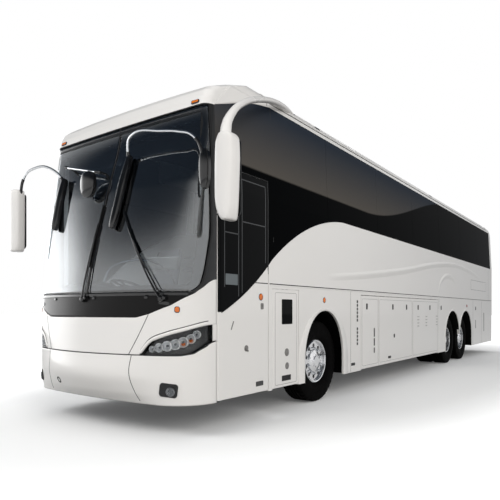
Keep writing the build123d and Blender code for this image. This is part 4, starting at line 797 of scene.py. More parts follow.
@dataclass
class HeadLamps:
    """Lamp clusters under the mask, brows over them and the fog lamps in the bumper."""
    depth: float = 0.05
    edge: float = 0.004
    lamps: tuple = ((0.884, 0.85, 0.028), (0.955, 0.865, 0.041), (1.03, 0.88, 0.046), (1.095, 0.895, 0.046),
                    (1.15, 0.915, 0.046), (1.196, 0.945, 0.042), (1.226, 0.985, 0.036))
    indicators: tuple = (4, 5)

    def pocket(self) -> None:
        """Black pocket: a floor sunk behind the skin and walls from its edge to the skin, cover glass in front and
        a white strip between its end and the corner."""
        floor, cover, strip = Form("lamp_pockets"), Form("lamp_covers"), Form("lamp_end_strips")
        end = 0.966
        low, high = LAMP_FOOT - (0, self.edge), LAMP_TOP + (0, self.edge)
        for side in (1, -1):
            strip.grid(Nose.panel(side * np.linspace(end - 0.002, 0.998, 8), low, high, 14))
            t = side * np.linspace(Nose.share(0.767, 0.8), end, 60)
            inner, outer = Nose.panel(t, low, high, 14, self.depth), Nose.panel(t, low, high, 14, 0.0005)
            floor.grid(inner)
            for border in ((slice(None), 0), (slice(None), -1), (0, slice(None)), (-1, slice(None))):
                floor.grid(np.stack([inner[border], outer[border]]))
            cover.grid(Nose.panel(t, LAMP_FOOT + (0, self.edge), LAMP_TOP - (0, self.edge), 14, 0.002))
        strip.build(PAINT, wall=0.01)
        floor.build(GLOSS_BLACK, stands_for=["headlamps"])
        cover.build(COVER)

    def cups(self) -> None:
        """Round reflectors: a bright bowl turned about the lamp's axis, a bulb shield and a domed lens."""
        bowl, lens, amber = Form("lamp_reflectors"), Form("lamp_lenses"), Form("lamp_indicators")
        curve = np.linspace(0, 1, 9)
        for side in (1, -1):
            for number, (x, z, radius) in enumerate(self.lamps):
                place, normal = Nose.spot(side * x, z)
                out = unit(normal * 0.55 + np.array([side * 0.05, -1.0, 0.0]) * 0.45)
                base = place - normal * (self.depth - 0.012)
                bowl.lathe(np.column_stack([0.002 + 0.024 * curve ** 2, 0.25 * radius + 0.7 * radius * curve]),
                           base, out)
                bowl.lathe([(0.026, radius * 0.95), (0.031, radius * 0.98), (0.031, radius * 1.06),
                            (-0.012, radius * 1.08)], base, out)
                bowl.lathe([(0.002, radius * 0.25), (0.016, radius * 0.25), (0.021, radius * 0.12), (0.022, 0)],
                           base, out, slot=1)
                lens.dome(base, out, 0.027, 0.012, radius * 0.94)
                if number in self.indicators:
                    amber.dome(base - UP * radius * 0.4, out, 0.008, 0.009, radius * 0.42)
        bowl.build(REFLECTOR, DULL_METAL)
        lens.build(COVER)
        amber.build(AMBER)

    def brows(self) -> None:
        """White brow over each cluster with a dark joint above it, both smooth lines on the surface."""
        white, dark = Form("lamp_brows"), Form("brow_joints")
        flat = bend([(0.768, 0.817), (0.862, 0.923), (1.02, 0.99), (1.183, 1.049), (1.262, 1.09)], 60)
        for side in (1, -1):
            white.strip(*Nose.at(side * flat[:, 0], flat[:, 1]),
                        [(-0.016, -0.004), (-0.014, 0.006), (-0.006, 0.011), (0.004, 0.011), (0.013, 0.006),
                         (0.016, -0.004)])
            dark.line(*Nose.at(side * flat[:, 0], flat[:, 1] + 0.024), 0.008, 0.0014, sink=0.008)
        white.build(PAINT)
        dark.build(SEAM)

    def fog(self) -> None:
        """Fog lamps: a dark rounded recess, a dull reflector and a domed lens."""
        dish, lamp, lens = Form("fog_recesses"), Form("fog_reflectors"), Form("fog_lenses")
        for side in (1, -1):
            place, normal = Nose.spot(side * 1.035, 0.465)
            along = np.array([0.86, side * 0.5, 0.0])
            dish.plate(place - normal * 0.002, along + UP * -0.12 * side, normal, 0.088, 0.066, 0.03, 0.006, sink=0.02)
            base = place + unit(along) * 0.02 * side + normal * 0.003 - UP * 0.012
            lamp.lathe([(0.0, 0.044), (0.009, 0.044), (0.012, 0.038), (0.004, 0.02), (0.003, 0.0)], base, normal)
            lens.dome(base, normal, 0.006, 0.009, 0.037, steps=7)
        dish.build(SEALANT)
        lamp.build(DULL_METAL)
        lens.build(COVER)

    def tow_eye(self) -> None:
        """Round cover of the towing socket in the bumper."""
        form = Form("tow_cover")
        form.lathe([(-0.01, 0.037), (0.002, 0.037), (0.003, 0.034), (0.002, 0.022), (-0.008, 0.021)],
                   *Nose.spot(-0.45, 0.47))
        form.build(SEAM)

    def build(self) -> None:
        """Builds the lamps."""
        self.pocket()
        self.cups()
        self.brows()
        self.fog()
        self.tow_eye()


# ---------------------------------------------------------------- mirrors and wipers

@dataclass
class Mirrors:
    """White arm mirrors at the corners, black mirrors before the screen and their bright tubes."""
    left: tuple = (1.655, -6.5, 2.392)
    right: tuple = (-1.66, -6.566, 2.335)
    tall: float = 0.77
    arm: tuple = ((1.19, -4.66, 3.63), (1.211, -4.777, 3.622), (1.276, -5.056, 3.588), (1.35, -5.372, 3.512),
                  (1.428, -5.712, 3.392), (1.504, -6.039, 3.24), (1.567, -6.308, 3.05), (1.605, -6.45, 2.88),
                  (1.632, -6.5, 2.74), (1.64, -6.5, 2.6))
    right_tube: tuple = ((-0.86, -6.41, 2.70), (-0.93, -6.47, 2.83), (-1.08, -6.53, 2.925), (-1.3, -6.55, 2.94),
                         (-1.46, -6.556, 2.905), (-1.545, -6.563, 2.81), (-1.582, -6.566, 2.66))
    left_tube: tuple = ((0.27, -6.41, 2.76), (0.285, -6.45, 2.86), (0.36, -6.51, 2.965), (0.5, -6.548, 3.005),
                        (0.85, -6.54, 2.955), (1.1, -6.53, 2.9), (1.22, -6.515, 2.86), (1.29, -6.49, 2.79),
                        (1.345, -6.462, 2.62))

    def swell(self, count: int, power: float) -> tuple[Points, Points]:
        """Shares along a shell and how full it is there: one in the middle, nought at both ends, as a
        superellipse of a power."""
        share = (1 - np.cos(np.linspace(0, math.pi, count))) / 2
        return share, np.maximum(1 - np.abs(2 * share - 1) ** power, 0) ** (1 / power)

    def corner_shells(self) -> None:
        """Shells with a rounded back and a flat glass side: the half widths follow the outline of the real one."""
        left, right = Form("mirror_shell_left"), Form("mirror_shell_right")
        share, full = self.swell(48, 7.0)
        same = np.ones(48)
        out = np.interp(share, [0, 0.06, 0.3, 0.7, 0.86, 1], [0.075, 0.1, 0.105, 0.092, 0.085, 0.075])
        inner = np.interp(share, [0, 0.1, 0.4, 0.72, 0.86, 0.95, 1], [0.08, 0.1, 0.108, 0.105, 0.09, 0.06, 0.04])
        middle = np.column_stack([self.left[0] + (out - inner) / 2, same * self.left[1], 2.777 - self.tall * share])
        left.loft(middle, (out + inner) / 2 * full, 0.09 * full ** 0.5, BACKWARDS, 3.2)
        thick = np.interp(np.linspace(0, 1, 60), [0, 0.08, 0.75, 0.9, 1], [0.02, 0.036, 0.038, 0.05, 0.055])
        left.tube(bend(self.arm, 60), thick, count=20, flat=0.85)
        middle = np.column_stack([same * self.right[0], same * self.right[1], 2.72 - self.tall * share])
        right.loft(middle, np.interp(share, [0, 1], [0.104, 0.092]) * full, 0.072 * full ** 0.5, BACKWARDS, 3.2)
        left.build(PAINT, stands_for=["mirror_left"])
        right.build(PAINT, stands_for=["mirror_right"])

    def corner_faces(self) -> None:
        """Mirror glass on the rear of both shells, its black surround, and the screws low on the left one."""
        glass, rim, screws = Form("mirror_faces"), Form("mirror_surrounds"), Form("mirror_screws")
        for (x, y, z), deep in ((self.left, 0.018), (self.right, 0.0)):
            rim.plate((x, y + deep + 0.066, z), RIGHTWARDS, BACKWARDS, 0.088, 0.345, 0.05, 0.008)
            for low, tall in ((0.09, 0.225), (-0.24, 0.085)):
                glass.plate((x, y + deep + 0.07, z + low), RIGHTWARDS, BACKWARDS, 0.076, tall, 0.035, 0.007)
        for dx, z in ((-0.075, 2.13), (-0.062, 2.09), (-0.045, 2.055)):
            screws.lathe([(-0.004, 0.007), (0.003, 0.007), (0.004, 0.005), (0.002, 0.0)],
                         (self.left[0] + dx, self.left[1] - 0.084, z), -BACKWARDS)
        rim.build(BLACK_PLASTIC)
        glass.build(MIRROR)
        screws.build(SEAM)

    def paddles(self) -> None:
        """Black brackets that hug the screen: superellipses carried up the screen, wider above."""
        form = Form("screen_brackets")
        share, full = self.swell(40, 5.0)
        wide = np.interp(share, [0, 0.35, 1], [0.03, 0.042, 0.044]) * full
        for x, high, low, lean in ((-0.86, 2.76, 2.14, 0.0), (0.27, 2.83, 2.04, 0.035)):
            path, normal = Nose.at(x + lean * (0.5 - share), high + (low - high) * share, 0.042)
            form.loft(path, wide, 0.042 * full ** 0.6, normal.mean(0), 2.6, count=32)
        form.build(GLOSS_BLACK, stands_for=["mirror_brackets"])

    def round_mirrors(self) -> None:
        """Oval blind-spot mirrors: black bowls with a bright bowed face turned to the driver."""
        bowl, face = Form("blind_spot_bowls"), Form("blind_spot_faces")
        ring = oval(2.4, 36)

        def loop(middle: Sequence[float], half: float, tall: float, back: float) -> Points:
            """One oval ring behind a middle."""
            return np.column_stack([middle[0] + half * ring[:, 0], np.full(len(ring), middle[1] + back),
                                    middle[2] + tall * ring[:, 1]])

        for middle, wide, deep, tall in (((1.345, -6.46, 2.53), 0.06, 0.038, 0.188),
                                         ((-0.24, -6.57, 2.59), 0.112, 0.048, 0.145)):
            turns = [(math.sin(a), math.cos(a)) for a in np.linspace(0.02, QUARTER, 12)]
            bowl.sleeve(np.stack([loop(middle, wide * s, tall * s, -deep * c) for s, c in turns]
                                 + [loop(middle, wide, tall, deep * 0.8)]))
            cap = np.stack([loop(middle, 0.9 * wide * s, 0.92 * tall * s, deep * (0.8 + 0.18 * c)) for s, c in turns])
            face.grid(cap, round_v=True)
            face.fan(cap[0])
        bowl.build(GLOSS_BLACK, stands_for=["mirror_centre"])
        face.build(MIRROR)

    def tubes(self) -> None:
        """Bright tubes with black sleeves at their ends: smooth lines through their bends."""
        bright, black = Form("mirror_tubes"), Form("mirror_tube_ends")
        right, left = bend(self.right_tube, 70), bend(self.left_tube, 90)
        feet, _ = Nose.at(np.array([-0.83, -0.12]), np.array([2.88, 2.69]), 0.08)
        bar = straight(*feet, 20)
        sideways = (0.2, 1, 0.1)
        for path, radius in ((right, 0.015), (left, 0.0135), (bar, 0.015)):
            bright.tube(path, radius, sideways)
        for path, radius in ((right[-14:], 0.0185), (right[:8], 0.02), (left[:9], 0.019), (left[-14:], 0.0175),
                             (bar[:2], 0.02), (bar[-3:], 0.02)):
            black.tube(path, radius, sideways)
        for foot in (bar[0], bar[-1]):
            black.tube(straight(foot, foot + BACKWARDS * 0.1, 4), 0.014)
        bright.build(CHROME, stands_for=["mirror_arms"])
        black.build(GLOSS_BLACK)

    def build(self) -> None:
        """Builds the mirrors."""
        self.corner_shells()
        self.corner_faces()
        self.paddles()
        self.round_mirrors()
        self.tubes()


@dataclass
class Wipers:
    """Two long wipers at rest, with twin rods, a blade and a round boss each."""
    sweep: tuple = ((0.964, 1.32, 0.34, 2.23), (-0.04, 1.33, 0.0, 2.33))
    shift: tuple = (0.045, 0, 0.012)
    steps: int = 40
    arm_steps: int = 26
    blade_start: int = 13

    def build(self) -> None:
        """Each arm follows the screen at a fixed distance between its boss and its tip."""
        form, shift = Form("wiper_arms"), np.array(self.shift)
        share = np.linspace(0, 1, self.steps)
        for low_x, low_z, high_x, high_z in self.sweep:
            x, z = low_x + (high_x - low_x) * share, low_z + (high_z - low_z) * share
            arm = Nose.at(x, z, 0.03)[0][:self.arm_steps]
            form.tube(arm, np.linspace(0.011, 0.007, self.arm_steps), BACKWARDS)
            form.tube(arm + shift * np.linspace(1, 0.15, self.arm_steps)[:, None], 0.006, BACKWARDS)
            blade, facing = Nose.at(x[self.blade_start:], z[self.blade_start:], 0.012)
            form.line(blade, facing, 0.012, 0.014, sink=0.01)
            form.tube(blade[8:-8] + facing[8:-8] * 0.018, 0.006, BACKWARDS)
            base, out = Nose.spot(low_x, low_z)
            form.lathe([(-0.01, 0.03), (0.03, 0.028), (0.042, 0.018), (0.045, 0)], base, out)
            form.lathe([(-0.01, 0.02), (0.03, 0.018), (0.036, 0.012), (0.038, 0)], base + shift, out)
        form.build(GLOSS_BLACK, stands_for=["wipers"])


# ---------------------------------------------------------------- sides

@dataclass
class SideTrim:
    """Grooves, lips, latches, lamps and glass joints of one flank. side is 1 for the left, -1 for the right."""
    side: int
    name: str
    latches: tuple = ((-2.58, 1), (-1.478, 2), (-0.791, 2), (-0.137, 3), (0.609, 3), (1.406, 0), (4.621, 0))
    seams: tuple = (((4.32, 1.5), (4.32, 0.34)), ((5.35, 1.5), (5.35, 0.34)), ((-3.16, 1.5), (-3.16, 0.33)),
                    ((1.25, 1.5), (1.25, 1.26)), ((4.1, 1.77), (5.9, 1.77)), ((4.1, 2.02), (5.9, 2.02)),
                    ((4.1, 1.77), (4.1, 2.02)), ((5.9, 1.77), (5.9, 2.02)), ((6.2, 2.37), (6.2, 1.53)))
    crest: tuple = ((-3.9, 1.65), (-3.18, 1.705), (-1.13, 1.905), (1.32, 2.205), (2.54, 2.275), (3.6, 2.245),
                    (5.2, 2.08))
    scoop: tuple = ((1.25, 1.58), (1.33, 1.77), (1.6, 1.93), (1.95, 1.99), (2.3, 1.95), (2.58, 1.85))

    @property
    def out(self) -> Points:
        """Outward direction."""
        return self.side * RIGHTWARDS

    def run(self, start: Sequence[float], stop: Sequence[float], count: int) -> Points:
        """Straight line on the flank between two places given as y and z."""
        return straight(*on_wall([start, stop], self.side), count)

    def wall(self, y: float, z: float) -> Points:
        """A point on the flank."""
        return on_wall([(y, z)], self.side)[0]

    def grooves(self) -> None:
        """Waist groove with a thin lip under it, and the joints of the upper and rear panels."""
        form, lip = Form(f"waist_groove_{self.name}"), Form(f"waist_lip_{self.name}")
        path = self.run((-5.27 if self.side > 0 else -6.18, WAIST_Z), (6.62, WAIST_Z), 30)
        form.line(path, self.out, 0.011, 0.0015)
        lip.strip(path - UP * 0.014, self.out, [(-0.008, -0.003), (-0.006, 0.004), (0.006, 0.004), (0.008, -0.003)])
        for ends in self.seams:
            form.line(self.run(*ends, 12), self.out, 0.005, 0.0008)
        if self.side > 0:
            form.line(self.run((-5.19, 3.5), (-5.19, 1.99), 12) + RIGHTWARDS * 0.0005, self.out, 0.007, 0.0012)
        form.build(SEAM)
        lip.build(PAINT)

    def fillers(self) -> None:
        """White weather strips that close most of the joint over the luggage and service doors."""
        form = Form(f"joint_fillers_{self.name}")
        for start, stop, z in ((-2.8, 1.19, 1.4565), (-5.21, -4.635, 1.4665))[:2 if self.side > 0 else 1]:
            form.line(self.run((start, z), (stop, z), 30), self.out, 0.007, 0.0, sink=0.008)
        form.build(PAINT)

    def relief(self) -> None:
        """Pressed crest along the upper flank and the scoop under it: smooth swellings that fade at both ends."""
        form, wide, ridge = Form(f"crest_{self.name}"), 0.075, 0.35
        across = np.linspace(-1, 1, 15)
        rise = np.cos((across - ridge) / np.where(across > ridge, 1 - ridge, 1 + ridge) * QUARTER) ** 2
        for points, count, tall in ((self.crest, 120, 0.02), (self.scoop, 60, 0.016)):
            path = on_wall(bend(points, count), self.side)
            fade = np.sin(np.linspace(0, math.pi, count)) ** 0.5
            aside = unit(np.cross(unit(np.gradient(path, axis=0)), self.out))
            aside = aside * np.sign(aside[:, 2:])
            form.grid(path[:, None] + aside[:, None] * (across * wide)[None, :, None]
                      + self.out * ((rise * tall)[None, :] * fade[:, None] - 0.0015)[..., None])
        form.build(PAINT)

    def arches(self) -> None:
        """White lips round the wheel openings and black liners behind them: arcs carried inwards."""
        lip, liner = Form(f"arch_lips_{self.name}"), Form(f"arch_liners_{self.name}")
        narrow = np.array([(-0.001, -0.02), (-0.001, 0.008), (0.007, 0.0135), (0.02, 0.0135), (0.034, 0.006),
                           (0.042, -0.002)])
        outer = np.array([(0.008, 0.013), (0.017, 0.007), (0.022, -0.002)])
        depth, shrink = np.array([0.004, 0.15, 0.35, 0.56]), np.array([0.0, 0.004, 0.004, 0.004])
        meet = math.asin((TAG_AXLE - DRIVE_AXLE) / 2 / 0.63) * 0.985
        for axle, z, radius, begin, end in ((FRONT_AXLE, 0.56, 0.665, -QUARTER, QUARTER),
                                            (DRIVE_AXLE, 0.603, 0.612, -QUARTER, meet),
                                            (TAG_AXLE, 0.603, 0.612, -meet, QUARTER)):
            turn = np.linspace(begin, end, 61)
            outward = np.column_stack([0 * turn, np.sin(turn), np.cos(turn)])
            way = outward[:, 1:] * radius + (axle, z)
            if begin == -QUARTER:
                way = np.vstack([[(axle - radius, SKIRT + 0.002)], way])
                outward = np.vstack([-BACKWARDS, outward])
            if end == QUARTER:
                way = np.vstack([way, [(axle + radius, SKIRT + 0.002)]])
                outward = np.vstack([outward, BACKWARDS])
            path = on_wall(way, self.side)
            cut = np.broadcast_to(narrow, (len(path), *narrow.shape))
            if axle == FRONT_AXLE:
                reach = -0.012 - 0.112 * outward[:, 1] ** 2
                inner = np.stack([np.column_stack([reach + step, 0 * reach + rise])
                                  for step, rise in ((0, -0.02), (0, 0.006), (0.008, 0.012))], 1)
                cut = np.concatenate([inner, np.broadcast_to(outer, (len(path), *outer.shape))], 1)
            lip.sleeve(path[:, None] + outward[:, None] * cut[..., :1] + self.out * cut[..., 1:])
            liner.grid(path[:, None] - self.out * depth[None, :, None] - outward[:, None] * shrink[None, :, None])
        lip.build(PAINT)
        liner.build(RUBBER, slot=PLASTIC, wall=0.003)

    def fittings(self) -> None:
        """Latches, vents, markers and dots on the flank, each on the body that carries it: the number of a luggage
        door, or nought for the coach."""
        forms: dict[int, Form] = {}

        def on(door: int) -> Form:
            """The form of one body."""
            return forms.setdefault(door, Form(f"flank_fittings_{self.name}_{len(forms)}"))

        plates = [(door, y, 1.28, 0.026, 0.046, 0.012, 0.005) for y, door in self.latches]
        plates += [(0, -2.93, row + 0.024, 0.019, 0.021, 0.006, 0.004) for start, stop in ((1.05, 1.35), (0.7, 0.92))
                   for row in np.arange(start, stop, 0.055)]
        plates += [(1, -2.29, (low + high) / 2, 0.016, (high - low) / 2, 0.008, 0.005)
                   for low, high in ((0.8, 0.94), (0.66, 0.78), (0.545, 0.63))]
        plates += [(0, -3.08, 0.431, 0.062, 0.02, 0.008, 0.005), (2, -1.63, 0.431, 0.062, 0.02, 0.008, 0.005),
                   (2, -1.41, 0.785, 0.024, 0.034, 0.022, 0.006), (0, 4.62, 0.86, 0.012, 0.11, 0.006, 0.004),
                   (0, 5.62, 0.9, 0.014, 0.26, 0.006, 0.004)]
        for door, y, z, *sizes in plates:
            on(door).plate(self.wall(y, z), BACKWARDS, self.out, *sizes)
        for y in (-0.125, 0.379, 1.08):
            for dy in (-0.03, 0.03):
                for row in range(4):
                    on(3).lathe([(-0.003, 0.009), (0.003, 0.009), (0.0035, 0.0)], self.wall(y + dy, 0.92 + 0.06 * row),
                                self.out, count=10)
        for door, form in forms.items():
            form.build(SEALANT, body=f"bay_leaf_{self.name}_{door}" if door else "coach_body")

    def bay_edges(self) -> None:
        """Pressed frame inside each luggage door's edge: a thin dark joint."""
        for number, (front, rear) in enumerate(((-2.79, -2.11), (-2.11, -0.465), (-0.465, 1.18)), 1):
            form = Form(f"bay_frame_{self.name}_{number}")
            form.line(frame_path(self.side, (front + rear) / 2, 0.885, (rear - front) / 2 - 0.035, 0.51, 0.03),
                      self.out, 0.0045, 0.0006)
            form.build(SOFT_SEAM, body=f"bay_leaf_{self.name}_{number}")

    def lamps(self) -> None:
        """Round marker lamps, amber ahead and red behind, in black bezels, and the flat ones at roof and mask."""
        bezel, amber, red = (Form(f"{name}_{self.name}") for name in ("marker_bezels", "marker_amber", "marker_red"))
        for y, z, target in ((FRONT_AXLE - 0.02, 1.353, amber), (TAG_AXLE + 0.117, 1.336, red)):
            bezel.lathe(BEZEL, self.wall(y, z), self.out)
            target.dome(self.wall(y, z), self.out, 0.003, 0.014, 0.034)
        for y, angle in ((-4.59, 50), (-3.98, 42), (1.0, 42), (6.2, 42)):
            (x, z), normal = roof_edge(self.side, math.radians(angle))
            bezel.plate((x, y, z), BACKWARDS, normal, 0.06, 0.022, 0.02, 0.006)
        for x, z, rim, lens in ((1.08, SCREEN_TOP + 0.034, (0.05, 0.02, 0.014, 0.007), (0.042, 0.013, 0.01, 0.0105)),
                                (1.099, 1.223, (0.026, 0.03, 0.02, 0.004), (0.021, 0.025, 0.018, 0.008))):
            place, normal = Nose.spot(x * self.side, z)
            bezel.plate(place, RIGHTWARDS, normal, *rim)
            amber.plate(place, RIGHTWARDS, normal, *lens)
        bezel.build(GLOSS_BLACK)
        amber.build(AMBER, stands_for=["marker_lamps"])
        red.build(RED)

    def roof_rails(self) -> None:
        """Gutter rails along the roof's edge arc, the joint under the lower one and the joint behind the cap."""
        rail, dark = Form(f"gutter_rails_{self.name}"), Form(f"gutter_joints_{self.name}")
        y = np.linspace(-5.22, 6.15, 60)
        for angle, wide in ((24, 0.03), (66, 0.026)):
            (x, z), normal = roof_edge(self.side, math.radians(angle))
            path = np.column_stack([np.full(60, x), y, np.full(60, z)])
            rail.line(path, normal, wide, 0.01)
            if angle < 45:
                down = np.array([self.side * normal[2], 0, -self.side * normal[0]])
                dark.line(path + down * (wide / 2 + 0.004), normal, 0.007, 0.002)
        place, normal = roof_edge(self.side, np.radians(np.linspace(0, 84, 24)))
        dark.line(np.column_stack([place[:, 0], np.full(24, CAP_REAR), place[:, 1]]), normal, 0.006, 0.001)
        rail.build(PAINT)
        dark.build(SEAM)

    def cap_wing(self) -> None:
        """White wing of the roof cap over the front top corner of the glass: its lower edge climbs to the
        glass's top as a smooth curve."""
        form = Form(f"cap_wing_{self.name}")
        y = np.linspace(-6.186, -5.2, 40)
        low = smooth([NOSE, -6.0, -5.75, -5.45, -5.2], [[3.235], [3.3], [3.39], [3.475], [3.518]], y)[..., 0]
        high = np.minimum(3.524, 3.245 + (y - NOSE) * 1.02)
        z = low[:, None] + (np.maximum(high, low + 0.002) - low)[:, None] * np.linspace(0, 1, 8)
        form.grid(np.stack([self.side * (half_width(z) + 0.003), np.broadcast_to(y[:, None], z.shape), z], -1))
        form.build(PAINT, wall=0.004)

    def build(self) -> None:
        """Builds the flank."""
        self.cap_wing()
        self.fillers()
        self.grooves()
        self.relief()
        self.arches()
        self.fittings()
        self.bay_edges()
        self.lamps()
        self.roof_rails()


@dataclass
class DoorTrim:
    """Entrance door and service door: lock, handle, vent, lamp, window, knobs and grille."""
    entrance: str = "entrance_door_leaf"
    service: str = "service_door_leaf"
    lamp: tuple = (HALF, -5.441, 1.363)
    panes: tuple = (((-6.07, 1.45), (-6.07, 2.58)), ((-5.84, 1.36), (-5.84, 2.58)), ((-5.78, 1.4), (-5.78, 2.58)),
                    ((-5.35, 1.74), (-5.35, 2.58)), ((-6.07, 2.58), (-5.35, 2.58)), ((-6.07, 2.0), (-5.84, 2.0)),
                    ((-5.78, 2.14), (-5.35, 2.14)))

    def run(self, start: Sequence[float], stop: Sequence[float]) -> Points:
        """Line on the door's outer surface between two places given as y and z."""
        return on_wall(straight(start, stop, 24), 1)

    def fittings(self) -> None:
        """Fittings of the entrance door, and the black edge beside the screen."""
        out, along = RIGHTWARDS, BACKWARDS
        black, grey, amber, edge = Form("door_black"), Form("door_metal"), Form("door_lamp"), Form("door_front_edge")
        black.plate((HALF, -5.466, 0.421), along, out, 0.068, 0.026, 0.008, 0.005)
        black.lathe([(-0.004, 0.039), (0.003, 0.039), (0.005, 0.036), (0.003, 0.03)], self.lamp, out)
        grey.plate((HALF, -5.418, 1.262), along, out, 0.026, 0.034, 0.01, 0.007)
        grey.lathe([(0.004, 0.011), (0.012, 0.011), (0.013, 0.0)], (HALF, -5.412, 1.268), out, count=18)
        grey.lathe([(-0.004, 0.033), (0.004, 0.033), (0.006, 0.028), (0.002, 0.02), (0.002, 0.0)],
                   (HALF, -5.709, 0.818), out)
        grey.plate((HALF, -5.700, 0.80), (0, 0.5, 0.85), out, 0.008, 0.026, 0.006, 0.012)
        grey.line(straight((HALF, -5.965, 1.02), (HALF, -5.925, 1.105), 8), out, 0.014, 0.004)
        amber.dome(self.lamp, out, 0.003, 0.015, 0.035)
        z = np.linspace(1.2, 2.64, 30)
        for y in (-6.152, -6.117):
            edge.line(np.column_stack([half_width(z) + 0.0002, np.full(30, y), z]), out, 0.04, 0.0012)
        black.line(straight((HALF, -5.545, WAIST_Z), (HALF, -5.302, WAIST_Z), 10), out, 0.011, 0.0015)
        for form, finish in ((black, GLOSS_BLACK), (grey, ZINC), (amber, AMBER), (edge, BLACK_GLASS)):
            form.build(finish, body=self.entrance)

    def glass_frame(self) -> None:
        """Gasket over the door's upper joints, smoked frame lines on its glass and a blank label."""
        gasket, frame, label = Form("door_gasket"), Form("door_glass_frame"), Form("door_label")
        filler = Form("door_joint_filler")
        gasket.line(self.run((-5.304, 1.66), (-5.304, 2.645)), RIGHTWARDS, 0.008, 0.0008)
        for ends in (((-6.16, 2.6565), (-5.291, 2.6565)), ((-5.2935, 1.62), (-5.2935, 2.659))):
            filler.line(self.run(*ends), RIGHTWARDS, 0.007, 0.0, sink=0.008)
        for ends in self.panes:
            frame.line(self.run(*ends), RIGHTWARDS, 0.012, 0.0006)
        label.plate((HALF, -5.955, 1.53), BACKWARDS, RIGHTWARDS, 0.1, 0.055, 0.008, 0.0006)
        filler.build(SEALANT)
        for form, finish in ((gasket, SEALANT), (frame, SMOKE), (label, LABEL)):
            form.build(finish, body=self.entrance)

    def service_door(self) -> None:
        """Window, knobs and grille of the service door."""
        out, along = RIGHTWARDS, BACKWARDS
        glass, metal, black, frame = (Form(f"service_{name}") for name in ("window", "knobs", "grille", "frame"))
        glass.plate((HALF, -4.9, 1.201), along, out, 0.116, 0.146, 0.014, 0.004)
        for y, z, radius in ((-4.907, 0.725, 0.046), (-4.902, 0.566, 0.04)):
            metal.dome((HALF, y, z), out, 0.002, 0.022, radius, steps=9)
            metal.lathe([(-0.004, radius), (0.003, radius), (0.004, radius * 0.9), (0.001, radius * 0.85)],
                        (HALF, y, z), out)
        black.plate((HALF, -4.916, 0.426), along, out, 0.098, 0.032, 0.006, 0.003)
        for row in range(4):
            black.plate((HALF, -4.916, 0.404 + row * 0.015), along, out, 0.09, 0.0035, 0.003, 0.008)
        frame.line(frame_path(1, -4.92, 0.89, 0.235, 0.53, 0.02), out, 0.005, 0.0007)
        for form, finish in ((glass, BLACK_GLASS), (metal, ZINC), (black, SEALANT), (frame, SOFT_SEAM)):
            form.build(finish, body=self.service)

    def build(self) -> None:
        """Builds both doors' trim."""
        self.fittings()
        self.glass_frame()
        self.service_door()


# ---------------------------------------------------------------- wheels

